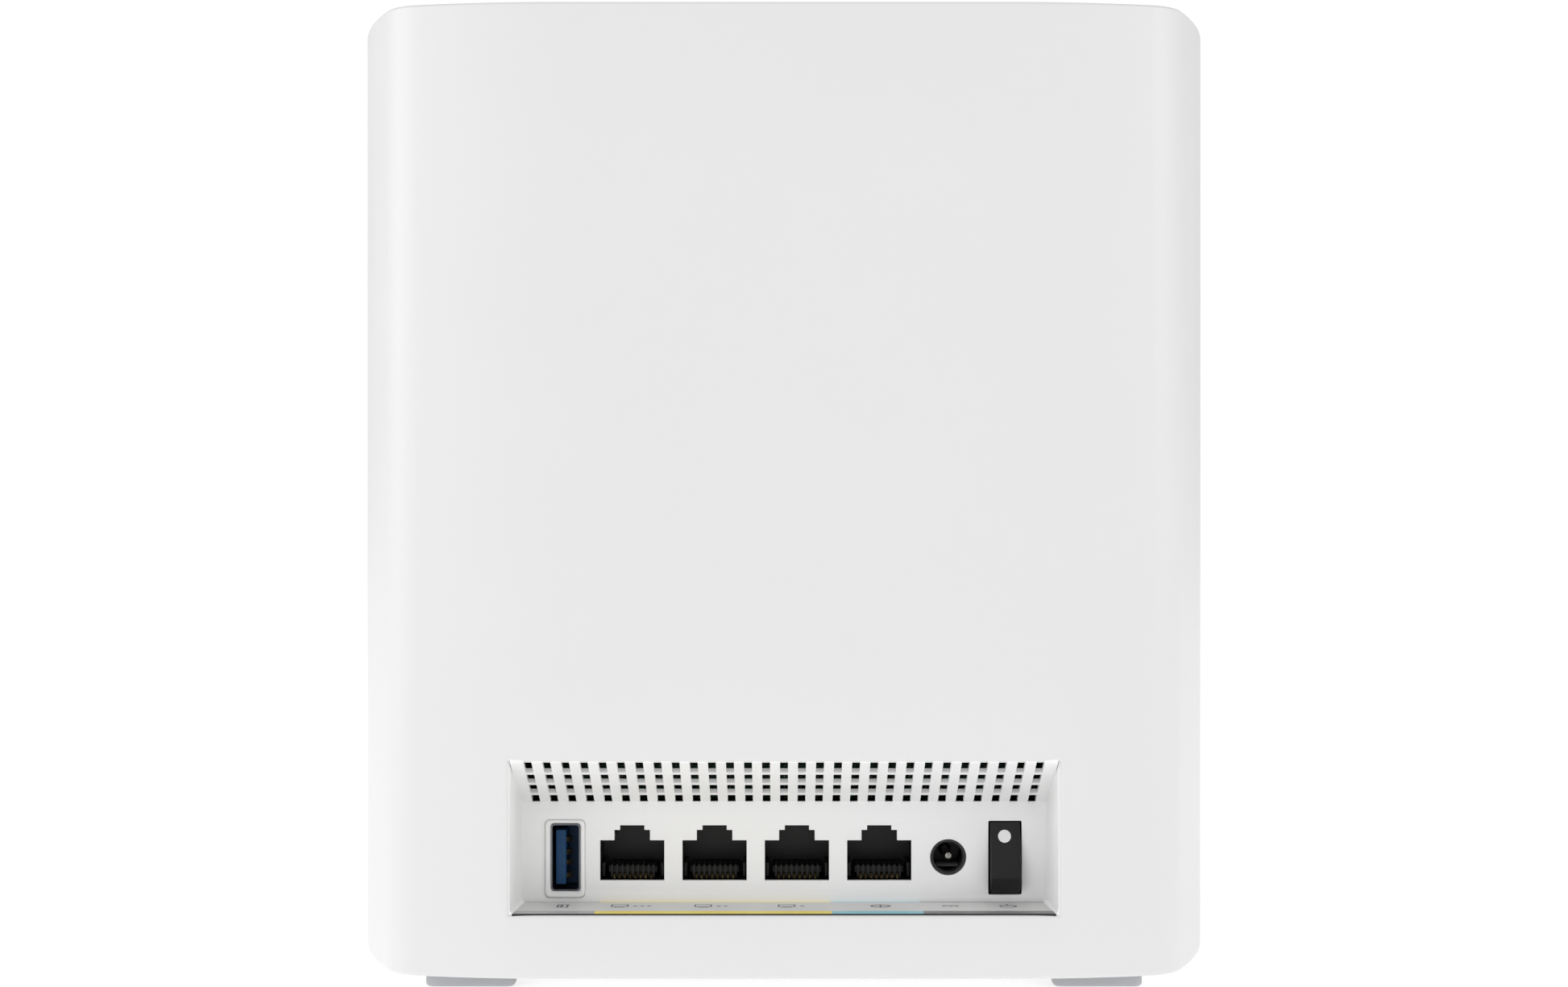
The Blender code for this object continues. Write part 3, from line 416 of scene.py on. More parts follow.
def circle(centre, radius, sides=48):
    turns = [2 * math.pi / sides * k for k in range(sides)]
    return [(centre[0] + radius * math.cos(turn), centre[1] + radius * math.sin(turn)) for turn in turns]


def turned(profile, centre, sides=40, hollow=False):
    """A bmesh turned about a line along Y: profile gives (radius, place), its ends capped or joined."""
    shape = bmesh.new()
    rings = []
    for radius, place in profile:
        ring = []
        for k in range(sides):
            angle = 2 * math.pi * k / sides
            u = radius * math.cos(angle)
            v = radius * math.sin(angle)
            ring.append(shape.verts.new((centre[0] + u, place, centre[1] + v)))
        rings.append(ring)
    joined = rings[1:] + rings[:1] if hollow else rings[1:]
    for a, b in zip(rings, joined):
        for k in range(sides):
            j = (k + 1) % sides
            shape.faces.new((a[k], a[j], b[j], b[k]))
    if not hollow:
        shape.faces.new(rings[0])
        shape.faces.new(rings[-1])
    return shape


# ---------------------------------------------------------------- the casing
def plan_arcs():
    """The right half of the plan, rear to front: (centre x, centre y, radius, start, end, steps)."""
    x = FLAT_HALF
    y = FACE_Y
    heading = 0.0
    arcs = []
    for radius, turn, steps in PLAN_ARCS:
        a = math.radians(heading)
        b = math.radians(heading + turn)
        arcs.append((x - radius * math.sin(a), y + radius * math.cos(a), radius, a, b, steps))
        x += radius * (math.sin(b) - math.sin(a))
        y += radius * (math.cos(a) - math.cos(b))
        heading += turn
    left = math.radians(180.0 - heading)
    radius = x / math.sin(left)
    arcs.append((0.0, y - radius * math.cos(left), radius, math.radians(heading), math.pi, FRONT_STEPS))
    return arcs


ARCS = plan_arcs()


def rear_y(x):
    cx, cy, radius = ARCS[0][:3]
    bow = max(0.0, abs(x) - cx)
    return cy - math.sqrt(radius**2 - bow**2)


def plan_points():
    """The right half of the plan as (x, y, outward x, outward y), rear middle to front middle."""
    rim_x = BAY_HALF + RIM_ROUND
    points = [(x, FACE_Y, 0.0, -1.0) for x in (0.0, 8.0, 16.0, 24.0, 32.0, 40.0)]
    for cx, cy, radius, start, end, steps in ARCS:
        angles = [start + (end - start) * k / steps for k in range(steps)]
        if cx == FLAT_HALF:
            angles.append(math.asin((rim_x - cx) / radius))
        for angle in sorted(angles):
            nx = math.sin(angle)
            ny = -math.cos(angle)
            points.append((cx + radius * nx, cy + radius * ny, nx, ny))
    cx, cy, radius = ARCS[-1][:3]
    points.append((0.0, cy + radius, 0.0, 1.0))
    return points


def side_x(y):
    cx, cy, radius = ARCS[2][:3]
    return cx + math.sqrt(radius**2 - (y - cy) ** 2)


def casing_columns(side):
    """Columns round one half as (x, y, outward x, outward y, seam inset), seam to seam."""
    right = []
    for x, y, nx, ny in plan_points():
        if side * (y - SPLIT_Y) > 0.45:
            right.append((x, y, nx, ny, 0.0))
    seam = []
    for gap, inset in ((0.35, 0.0), (0.16, 0.02), (0.05, 0.09), (0.0, 0.22)):
        y = SPLIT_Y + side * (SEAM + gap)
        seam.append((side_x(y), y, 1.0, 0.0, inset))
    right = right + seam if side < 0 else seam[::-1] + right
    left = [(-x, y, -nx, ny, inset) for x, y, nx, ny, inset in reversed(right)]
    if side < 0:
        return left[:-1] + right
    return (right + left[1:])[::-1]


def casing_rows(window_z):
    """Rows up the casing as (z, inset, tilt of the normal), from the floor opening to the top."""
    rows = [(LOW_Z + up, FLOOR_INSET - out, -90) for up, out in ((0.6, 0.0), (0.1, 0.03), (0.0, 0.15))]
    steps = 6
    for k in range(steps + 1):
        swing = math.pi / 2 * (k / steps - 1)
        rise = EDGE_ROUND * (1 + math.sin(swing))
        rows.append((LOW_Z + rise, EDGE_ROUND * (1 - math.cos(swing)), math.degrees(swing)))
    for z in sorted({*window_z, 60.0, 90.0, 120.0, 150.0}):
        rows.append((z, 0.0, 0))
    for k in range(steps + 1):
        swing = math.pi / 2 * k / steps
        drop = EDGE_ROUND * (1 - math.sin(swing))
        rows.append((TOP_Z - drop, EDGE_ROUND * (1 - math.cos(swing)), math.degrees(swing)))
    return rows


def casing_point(column, row, depth):
    x, y, nx, ny, seam_inset = column
    z, inset, tilt = row
    inwards = depth if depth > 0 else seam_inset
    swing = math.radians(tilt)
    reach = inset + inwards * math.cos(swing)
    return (x - nx * reach, y - ny * reach, z - inwards * math.sin(swing))


def casing_half(side, window):
    """One half of the casing as a closed shell. window is (x half width, low z, high z) of its opening."""
    half, low, high = window
    columns = casing_columns(side)
    levels = (low - RIM_ROUND, 22.0, 29.0, 36.0, high + RIM_ROUND) if side < 0 else (22.0, 40.0)
    rows = casing_rows(levels)
    shape = bmesh.new()
    skins = []
    for depth in (0, WALL):
        skins.append([[shape.verts.new(casing_point(c, r, depth)) for c in columns] for r in rows])
    last_row = len(rows) - 1
    last_column = len(columns) - 1

    def in_window(r, c):
        z = (rows[r][0] + rows[r + 1][0]) / 2
        x = (columns[c][0] + columns[c + 1][0]) / 2
        return low - RIM_ROUND < z < high + RIM_ROUND and abs(x) < half + RIM_ROUND and side < 0

    open_cells = set()
    for skin_index, skin in enumerate(skins):
        for r in range(last_row):
            for c in range(last_column):
                if in_window(r, c):
                    open_cells.add((r, c))
                    continue
                face = shape.faces.new((skin[r][c], skin[r][c + 1], skin[r + 1][c + 1], skin[r + 1][c]))
                face.material_index = skin_index
    outer, inner = skins
    for c in range(last_column):
        shape.faces.new((outer[0][c], outer[0][c + 1], inner[0][c + 1], inner[0][c]))
    for r in range(last_row):
        for c in (0, last_column):
            shape.faces.new((outer[r][c], outer[r + 1][c], inner[r + 1][c], inner[r][c]))
    seam_columns = 3
    for skin in skins:
        top = skin[last_row]
        shape.faces.new(top[seam_columns : len(top) - seam_columns])
        for c in range(seam_columns):
            shape.faces.new((top[c], top[c + 1], top[-c - 2], top[-c - 1]))
    shape.faces.new((outer[last_row][0], outer[last_row][-1], inner[last_row][-1], inner[last_row][0]))
    window_rim(shape, skins, open_cells, side)
    return shape


def window_rim(shape, skins, cells, side):
    """Rounds the edge of a casing opening and joins the outer skin to the inner one there."""
    if not cells:
        return
    r_low, r_high = min(r for r, _ in cells), max(r for r, _ in cells) + 1
    c_low, c_high = min(c for _, c in cells), max(c for _, c in cells) + 1
    loop = [(r_low, c) for c in range(c_low, c_high)] + [(r, c_high) for r in range(r_low, r_high)]
    loop += [(r_high, c) for c in range(c_high, c_low, -1)] + [(r, c_low) for r in range(r_high, r_low, -1)]
    rings = []
    for r, c in loop:
        along_x = 1 if c == c_low else -1 if c == c_high else 0
        along_z = 1 if r == r_low else -1 if r == r_high else 0
        start = skins[0][r][c].co.copy()
        ring = [skins[0][r][c]]
        for k in range(1, 6):
            turn = math.pi / 2 * k / 5
            move = Vector((along_x * math.sin(turn), -side * (1 - math.cos(turn)), along_z * math.sin(turn)))
            ring.append(shape.verts.new(start + RIM_ROUND * move))
        back = LIP if r == r_high else FLANGE
        edge = start + Vector((along_x * RIM_ROUND, -side * back, along_z * RIM_ROUND))
        ring.append(shape.verts.new(edge))
        ring.append(skins[1][r][c])
        rings.append(ring)
    for a, b in zip(rings, rings[1:] + rings[:1]):
        for k in range(len(a) - 1):
            shape.faces.new((a[k], b[k], b[k + 1], a[k + 1]))


def light_window():
    """The small frosted window low on the front, standing a hair proud of the casing."""
    cx, cy, radius = ARCS[-1][:3]
    front = cy + radius
    outline = rounded_rectangle((0.0, 20.7), (7.2, 1.4), 1.35)
    shape = plate(outline, (front - 0.9, front + 0.05), "XZ", edge=0.04)
    finished("front_light_window", mesh_of(shape), "lens")


def casing():
    for side, name, window in ((-1, "rear", (BAY_HALF, BAY_LOW, BAY_TOP)), (1, "front", (0, 0, 0))):
        mesh = mesh_of(casing_half(side, window))
        finished(f"{name}_casing", mesh, None, replaces=(f"{name}_shell",), sharp=50)
        mesh.materials.append(MATERIALS["case"])
        # The inner skin takes the near-black painted shade.
        mesh.materials.append(MATERIALS["inside"])


# ---------------------------------------------------------------- port bay
def ceiling_z(y):
    return CEILING_RIM - SLOPE * (y - FACE_Y)


def shelf_z(y):
    return SHELF_FRONT + (SHELF_BACK - SHELF_FRONT) * (y - SHELF_Y) / (WALL_Y - SHELF_Y)


def rj45_outline(x):
    """The stepped opening of a modular socket: body, latch channel and latch tip."""
    (w0, low, z1), (w1, _, z2), (w2, _, z3) = RJ45_STEPS
    right = [(w0, low), (w0, z1), (w1, z1), (w1, z2), (w2, z2), (w2, z3)]
    return [(x + u, v) for u, v in right + [(-u, v) for u, v in reversed(right)]]


def port_wall():
    """The flat wall behind the bay with all its openings, each with a fine round edge."""
    holes = [rj45_outline(x) for x in RJ45.values()]
    holes.append(rounded_rectangle((USB_X, PORT_Z), (2.9, 6.6), 0.7))
    holes.append(circle((DC_X, PORT_Z), 3.5))
    holes.append(rounded_rectangle((SWITCH_X, PORT_Z - 0.08), (3.215, 7.16), 0.25, steps=3))
    half = BAY_HALF_BACK + 0.4
    low = SHELF_BACK - 0.6
    high = CEILING_BACK + 0.02
    outline = [(-half, low), (half, low), (half, high), (-half, high)]
    return plate(outline, (WALL_Y, WALL_Y + 1.2), "XZ", [h[::-1] for h in holes], edge=0.1)


def bay_tray():
    """Side walls and shelf as one bent sheet, a little narrower at the back."""
    shape = bmesh.new()
    corner = 0.8
    skins = ([], [])
    for k in range(5):
        y = SHELF_Y + (WALL_Y + 0.6 - SHELF_Y) * k / 4
        half = BAY_HALF - 0.02 - (BAY_HALF - BAY_HALF_BACK) * (y - FACE_Y) / BAY_DEPTH
        low = shelf_z(y)
        path = [(half, ceiling_z(y) + 0.4, 1, 0)]
        for step in range(7):
            turn = math.pi / 2 * step / 6
            x = half - corner * (1 - math.cos(turn))
            path.append((x, low + corner * (1 - math.sin(turn)), math.cos(turn), -math.sin(turn)))
        path += [(-x, z, -nx, nz) for x, z, nx, nz in reversed(path)]
        for skin, thick in zip(skins, (0.0, 0.9)):
            skin.append([shape.verts.new((x + nx * thick, y, z + nz * thick)) for x, z, nx, nz in path])
    last = len(skins[0][0]) - 1
    for skin in skins:
        for a, b in zip(skin, skin[1:]):
            for k in range(last):
                shape.faces.new((a[k], a[k + 1], b[k + 1], b[k]))
    inner, outer = skins
    for row in (0, -1):
        for k in range(last):
            shape.faces.new((inner[row][k], inner[row][k + 1], outer[row][k + 1], outer[row][k]))
    for k in (0, last):
        for row in range(len(inner) - 1):
            shape.faces.new((inner[row][k], inner[row + 1][k], outer[row + 1][k], outer[row][k]))
    return shape


def slot_tree():
    """Geometry nodes: a sheet with rows of round-ended slots, its columns spreading towards the ends."""
    tree = bpy.data.node_groups.new("slotted_sheet", "GeometryNodeTree")
    made = tree.interface.new_socket("Geometry", in_out="OUTPUT", socket_type="NodeSocketGeometry")
    sizes = (
        ("Columns per side", "NodeSocketInt", 14),
        ("Pitch", "NodeSocketFloat", 3.37 * MM),
        ("Pitch growth", "NodeSocketFloat", 8.1e-5),
        ("Slot width", "NodeSocketFloat", 1.5 * MM),
        ("Corner radius", "NodeSocketFloat", 0.12 * MM),
        ("Sheet width", "NodeSocketFloat", 102.4 * MM),
        ("Sheet length", "NodeSocketFloat", 19.6 * MM),
        ("Thickness", "NodeSocketFloat", SHEET * MM),
    )
    for label, kind, default in sizes:
        socket = tree.interface.new_socket(label, in_out="INPUT", socket_type=kind)
        socket.default_value = default
    tree.interface.new_socket("Material", in_out="INPUT", socket_type="NodeSocketMaterial")
    start = tree.nodes.new("NodeGroupInput")
    end = tree.nodes.new("NodeGroupOutput")
    links = tree.links

    def add(kind, **settings):
        return node(tree, kind, **settings)

    def calc(operation, a, b=0.0):
        return math_node(tree, operation, a, b)

    def vector(x, y, z):
        item = add("ShaderNodeCombineXYZ")
        for socket, value in zip(item.inputs, (x, y, z)):
            if isinstance(value, (int, float)):
                socket.default_value = value
            else:
                links.new(value, socket)
        return item.outputs[0]

    count = calc("ADD", calc("MULTIPLY", start.outputs["Columns per side"], 2), 1)
    index = add("GeometryNodeInputIndex")
    step = calc("SUBTRACT", index.outputs[0], start.outputs["Columns per side"])
    growth = calc("ADD", calc("MULTIPLY", calc("MULTIPLY", step, step), start.outputs["Pitch growth"]), 1.0)
    column_x = calc("MULTIPLY", calc("MULTIPLY", step, start.outputs["Pitch"]), growth)
    cutters = add("GeometryNodeJoinGeometry")
    for low, high in SLOT_ROWS:
        line = add("GeometryNodePoints")
        links.new(count, line.inputs["Count"])
        links.new(vector(column_x, (low + high) / 2 * MM, 0.0), line.inputs["Position"])
        outline = add("GeometryNodeCurvePrimitiveQuadrilateral")
        links.new(start.outputs["Slot width"], outline.inputs["Width"])
        outline.inputs["Height"].default_value = (high - low) * MM
        fillet = add("GeometryNodeFilletCurve", mode="POLY")
        links.new(outline.outputs["Curve"], fillet.inputs["Curve"])
        fillet.inputs["Count"].default_value = 3
        links.new(start.outputs["Corner radius"], fillet.inputs["Radius"])
        face = add("GeometryNodeFillCurve", mode="NGONS")
        links.new(fillet.outputs["Curve"], face.inputs["Curve"])
        lower = add("GeometryNodeTransform")
        lower.inputs["Translation"].default_value = (0, 0, -2 * MM)
        links.new(face.outputs[0], lower.inputs["Geometry"])
        solid = add("GeometryNodeExtrudeMesh", mode="FACES")
        solid.inputs["Individual"].default_value = False
        solid.inputs["Offset Scale"].default_value = 5 * MM
        links.new(lower.outputs[0], solid.inputs["Mesh"])
        flipped = add("GeometryNodeFlipFaces")
        links.new(lower.outputs[0], flipped.inputs["Mesh"])
        closed = add("GeometryNodeJoinGeometry")
        links.new(solid.outputs["Mesh"], closed.inputs[0])
        links.new(flipped.outputs[0], closed.inputs[0])
        welded = add("GeometryNodeMergeByDistance")
        welded.inputs["Distance"].default_value = 1e-6
        links.new(closed.outputs[0], welded.inputs["Geometry"])
        placed = add("GeometryNodeInstanceOnPoints")
        links.new(line.outputs[0], placed.inputs["Points"])
        links.new(welded.outputs[0], placed.inputs["Instance"])
        links.new(placed.outputs[0], cutters.inputs[0])
    sheet = add("GeometryNodeMeshCube")
    links.new(
        vector(start.outputs["Sheet width"], start.outputs["Sheet length"], start.outputs["Thickness"]),
        sheet.inputs["Size"],
    )
    moved = add("GeometryNodeTransform")
    links.new(sheet.outputs["Mesh"], moved.inputs["Geometry"])
    half_length = calc("MULTIPLY", start.outputs["Sheet length"], 0.5)
    half_thick = calc("MULTIPLY", start.outputs["Thickness"], 0.5)
    links.new(vector(0.0, half_length, half_thick), moved.inputs["Translation"])
    real = add("GeometryNodeRealizeInstances")
    links.new(cutters.outputs[0], real.inputs[0])
    cut = add("GeometryNodeMeshBoolean", operation="DIFFERENCE")
    links.new(moved.outputs[0], cut.inputs["Mesh 1"])
    links.new(real.outputs[0], cut.inputs["Mesh 2"])
    whole = add("GeometryNodeRealizeInstances")
    links.new(cut.outputs["Mesh"], whole.inputs[0])
    finish = add("GeometryNodeSetMaterial")
    links.new(whole.outputs[0], finish.inputs["Geometry"])
    links.new(start.outputs["Material"], finish.inputs["Material"])
    links.new(finish.outputs[0], end.inputs[made.name])
    return tree


def made_plain(name, tree, values):
    """Runs a geometry node tree and returns its result as a plain mesh."""
    holder = bpy.data.objects.new(name, bpy.data.meshes.new(name))
    bpy.context.scene.collection.objects.link(holder)
    step = holder.modifiers.new("nodes", "NODES")
    step.node_group = tree
    for socket in tree.interface.items_tree:
        if socket.in_out == "INPUT" and socket.name in values:
            step[socket.identifier] = values[socket.name]
    graph = bpy.context.evaluated_depsgraph_get()
    mesh = bpy.data.meshes.new_from_object(holder.evaluated_get(graph))
    holder.modifiers.remove(step)
    bpy.data.objects.remove(holder)
    return mesh


def vent_ceiling():
    mesh = made_plain("ceiling", slot_tree(), {"Material": MATERIALS["bay"]})
    rim = Matrix.Translation((0, FACE_Y * MM, CEILING_RIM * MM)) @ Matrix.Rotation(-math.atan(SLOPE), 4, "X")
    mesh.transform(rim)
    finished("bay_vent_ceiling", mesh, None, sharp=30)


def bay():
    finished("bay_port_wall", mesh_of(port_wall()), "bay", replaces=("port_bezel",))
    finished("bay_tray", mesh_of(bay_tray()), "bay")
    vent_ceiling()
    usb_surround()
    shelf_print()


def usb_surround():
    """The raised frame round the USB mouth, its edges falling softly to the wall."""
    centre = (-42.4, 23.06)
    shape = bmesh.new()
    steps = 6
    profile = [(3.91, 7.6, 0.0)]
    for k in range(steps + 1):
        turn = math.pi / 2 * k / steps
        shrink = 0.45 * (1 - math.cos(turn))
        profile.append((3.86 - shrink, 7.55 - shrink, 0.5 * math.sin(turn)))
    profile += [(3.12, 6.82, 0.5), (3.07, 6.77, 0.44), (3.05, 6.75, 0.3), (3.05, 6.75, -0.6)]
    rings = []
    for half_x, half_z, out in profile:
        middle = (centre[0], centre[1]) if half_x > 3.2 else (USB_X + 0.04, PORT_Z - 0.03)
        radius = 1.0 if half_x > 3.2 else 0.75
        loop = rounded_rectangle(middle, (half_x, half_z), radius, steps=6)
        rings.append([shape.verts.new((x, WALL_Y - out, z)) for x, z in loop])
    rings.append([shape.verts.new((v.co.x, WALL_Y + 0.6, v.co.z)) for v in rings[0]])
    count = len(rings[0])
    for a, b in zip(rings, rings[1:] + rings[:1]):
        for k in range(count):
            j = (k + 1) % count
            shape.faces.new((a[k], a[j], b[j], b[k]))
    finished("usb_surround", mesh_of(shape), "bay")


def on_shelf(shape, lift):
    """Moves a bmesh drawn flat onto the shelf: its second axis is the distance in from the front edge."""
    length = WALL_Y - SHELF_Y
    tilt = math.atan((SHELF_BACK - SHELF_FRONT) / length)
    place = Matrix.Translation((0, SHELF_Y, SHELF_FRONT + lift)) @ Matrix.Rotation(tilt, 4, "X")
    bmesh.ops.transform(shape, matrix=place, verts=shape.verts)
    return shape


def shelf_print():
    """The printed film on the shelf, a near-black block at its front edge that is painted shade for the gap
    there, and its picture signs.
    """
    length = WALL_Y - SHELF_Y
    film = bmesh.new()
    add_box(film, (-50.75, 50.75), (0.0, length - 0.05), (-0.2, 0.03))
    film = on_shelf(film, 0.0)
    finished("shelf_film", mesh_of(film), "film", replaces=("port_label",))
    # A near-black block under the shelf's front edge: painted shade standing for the shadowed gap between
    # shelf and casing.
    shade_block = bmesh.new()
    front = rear_y(BAY_HALF) + 0.15
    add_box(shade_block, (-50.9, 50.9), (front, SHELF_Y - 0.02), (BAY_LOW - 0.5, SHELF_FRONT - 0.05))
    finished("shelf_front_painted_shade", mesh_of(shade_block), "gap")
    signs = merged(*[on_shelf(sign, 0.05) for sign in picture_signs()])
    finished("shelf_signs", mesh_of(signs), "ink")


INK = (-0.01, 0.01)  # thickness of the printed signs
LINE = 0.35  # width of their outlines


def ring(centre, radius):
    return plate(circle(centre, radius, 28), INK, "XY", [circle(centre, radius - LINE, 28)[::-1]])


def bar(x, y, half_x, half_y):
    corners = ((-1, -1), (1, -1), (1, 1), (-1, 1))
    return plate([(x + sx * half_x, y + sy * half_y) for sx, sy in corners], INK, "XY")


def frame_sign(x, y, half_x, half_y):
    """The outline of a small rectangle."""
    outer = rounded_rectangle((x, y), (half_x, half_y), 0.3, steps=2)
    inner = rounded_rectangle((x, y), (half_x - LINE, half_y - LINE), 0.1, steps=2)
    return plate(outer, INK, "XY", [inner[::-1]])


def picture_signs():
    """Plain signs in front of each port: screens with one to three dots, a globe, power marks."""
    y = 10.2
    half = 2.0
    signs = [frame_sign(USB_X, y, 1.1, half), bar(USB_X - 0.2, y, 0.25, half - 0.9)]
    for count, name in ((3, "lan_3"), (2, "lan_2"), (1, "lan_1")):
        x = RJ45[name]
        signs += [frame_sign(x - 2.0, y + 0.4, 1.7, half - 0.4), bar(x - 2.0, y - 1.8, 1.0, 0.2)]
        signs += [plate(circle((x + 1.0 + 1.3 * k, y), 0.45, 16), INK, "XY") for k in range(count)]
    x = RJ45["wan"]
    signs += [ring((x, y), half), bar(x, y, half - 0.3, 0.15)]
    signs += [bar(x, y, 0.15, half - 0.3)]
    signs += [bar(DC_X, y + 0.6, 1.6, 0.22)]
    signs += [bar(DC_X + step, y - 0.6, 0.4, 0.22) for step in (-1.2, 0.0, 1.2)]
    signs += [ring((SWITCH_X, y - 0.3), half - 0.3), bar(SWITCH_X, y + 1.4, 0.2, 0.8)]
    return signs


# ---------------------------------------------------------------- sockets
def usb_socket():
    shell = plate(
        rounded_rectangle((USB_X, PORT_Z - 0.03), (2.87, 6.55), 0.75),
        (WALL_Y + 0.05, -4.0),
        "XZ",
        [rounded_rectangle((USB_X, PORT_Z - 0.03), (2.55, 6.22), 0.5)[::-1]],
        edge=0.08,
    )
    finished("usb_metal_shell", mesh_of(shell), "usb_shell", replaces=("usb_shell",))
    shape = bmesh.new()
    add_box(shape, (-44.27, -42.25), (WALL_Y + 1.0, -6.0), (PORT_Z - 5.4, PORT_Z + 5.2), round_by=0.25)
    add_box(shape, (USB_X - 2.5, USB_X + 2.5), (-13.0, -3.7), (PORT_Z - 6.1, PORT_Z + 6.1))
    finished("usb_tongue_block", mesh_of(shape), "blue", replaces=("usb_insulator",))
    shape = bmesh.new()
    for dz in (-3.5, -1.0, 1.0, 3.5):
        z = PORT_Z + dz - 0.3
        leaf = [(-42.3, -8.0), (-42.2, -14.6), (-41.35, -16.6), (-41.4, -17.1), (-42.25, -18.4)]
        sweep_strip(shape, [(x, y, z) for x, y in leaf], width=0.9, thick=0.14, across=(0, 0, 1))
    finished("usb_contact_leaves", mesh_of(shape), "gold", replaces=("usb_contacts",))


def sweep_strip(shape, path, width, thick, across):
    """A flat strip along a path of points, its width along a fixed direction."""
    side = Vector(across).normalized()
    points = [Vector(p) for p in path]
    rings = []
    for k, point in enumerate(points):
        before = points[max(0, k - 1)]
        after = points[min(len(points) - 1, k + 1)]
        normal = side.cross((after - before).normalized()).normalized()
        ring = []
        for u, v in ((1, 1), (-1, 1), (-1, -1), (1, -1)):
            ring.append(shape.verts.new(point + side * (u * width / 2) + normal * (v * thick / 2)))
        rings.append(ring)
    for a, b in zip(rings, rings[1:]):
        for k in range(4):
            j = (k + 1) % 4
            shape.faces.new((a[k], a[j], b[j], b[k]))
    shape.faces.new(rings[0])
    shape.faces.new(rings[-1])


def rj45_sockets():
    for name, x in RJ45.items():
        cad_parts[f"{name}_jack"].data.materials.clear()
        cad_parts[f"{name}_jack"].data.materials.append(MATERIALS["socket"])
        shape = bmesh.new()
        for k in range(8):
            u = x + 1.02 * (k - 3.5)
            path = [(u, -18.0, 19.0), (u, -18.75, 19.1), (u, -18.9, 19.3), (u, -18.55, 19.5)]
            path += [(u, -15.5, 19.95), (u, -11.0, 20.6), (u, -9.0, 20.85)]
            sweep_strip(shape, path, width=0.42, thick=0.3, across=(1, 0, 0))
        replaced = (f"{name}_contacts",)
        finished(f"{name}_contact_wires", mesh_of(shape), "gold", replaces=replaced)
        finished(f"{name}_contact_comb", mesh_of(contact_comb(x)), "comb")


def contact_comb(x):
    """The toothed guide over the eight wires, and the ribs at both sides of the plug's channel."""
    shape = bmesh.new()
    add_box(shape, (x - 4.7, x + 4.7), (-17.7, -8.6), (20.0, 21.2), round_by=0.1)
    for k in range(9):
        u = x + 1.02 * (k - 4)
        add_box(shape, (u - 0.22, u + 0.22), (-18.15, -12.0), (19.1, 21.5), round_by=0.05)
    for side in (-1, 1):
        middle = x + side * 5.75
        add_box(shape, (middle - 0.3, middle + 0.3), (-17.4, -9.0), (19.1, 21.8), round_by=0.1)
    return shape


def dc_socket():
    mouth = [(3.44, WALL_Y + 0.7), (3.38, WALL_Y + 0.6), (3.0, WALL_Y + 0.6), (2.85, WALL_Y + 0.8)]
    shape = turned(mouth + [(2.85, -9.0), (3.44, -9.0)], (DC_X, PORT_Z), sides=64, hollow=True)
    finished("dc_mouth_ring", mesh_of(shape), "socket")
    tip = WALL_Y + 1.4
    pin = [(0.2, -5.2), (0.78, -5.25), (0.78, tip + 0.5), (0.72, tip + 0.24), (0.6, tip + 0.07), (0.48, tip)]
    pin += [(0.4, tip + 0.12), (0.3, tip + 0.5), (0.02, tip + 0.8)]
    shape = turned(pin, (DC_X + 0.12, PORT_Z + 0.1))
    finished("dc_centre_pin", mesh_of(shape), "nickel", replaces=("dc_jack_pin",))
    shape = bmesh.new()
    leaf = [(DC_X, -9.0, 20.7), (DC_X, -13.0, 21.4), (DC_X, -16.5, 21.5), (DC_X, -17.2, 21.2)]
    sweep_strip(shape, leaf, width=4.2, thick=0.25, across=(1, 0, 0))
    finished("dc_spring_leaf", mesh_of(shape), "chassis", replaces=("dc_jack_spring",))


def rocker_tip(degrees):
    """A point (y, z) on the circle that the rocker's ends follow, by its angle above the pivot."""
    angle = math.radians(degrees)
    return (PIVOT_Y - ROCKER_RADIUS * math.cos(angle), PORT_Z + ROCKER_RADIUS * math.sin(angle))


def rocker():
    """The rocker: flat face between two tips, ends that follow a circle about the pivot."""
    outline = [rocker_tip(75.8 + (UPPER_TIP - 75.8) * k / 8) for k in range(9)]
    outline += [rocker_tip(LOWER_TIP + (-52.0 - LOWER_TIP) * k / 8) for k in range(9)]
    middle = math.radians((UPPER_TIP + LOWER_TIP) / 2)
    for k in range(3):
        angle = middle + math.radians(-110 - 70 * k)
        outline.append((PIVOT_Y - HUB_RADIUS * math.cos(angle), PORT_Z + HUB_RADIUS * math.sin(angle)))
    shape = plate(outline, (SWITCH_X - 2.9, SWITCH_X + 2.9), "YZ", edge=0.22, steps=3)
    cap = mesh_of(shape)
    finished("rocker_cap", cap, "rocker", body="rocker", replaces=("power_rocker",))
    upper = Vector((SWITCH_X - 0.15, *rocker_tip(UPPER_TIP)))
    lower = Vector((SWITCH_X - 0.15, *rocker_tip(LOWER_TIP)))
    down = (lower - upper).normalized()
    normal = Vector((0, down.z, -down.y))
    centre = upper + down * 2.65
    shape = bmesh.new()
    bmesh.ops.create_cone(shape, cap_ends=True, segments=48, radius1=1.24, radius2=1.24, depth=0.06)
    turn = normal.to_track_quat("Z", "Y").to_matrix().to_4x4()
    bmesh.ops.transform(shape, matrix=Matrix.Translation(centre) @ turn, verts=shape.verts)
    finished("rocker_mark", mesh_of(shape), "mark", body="rocker")


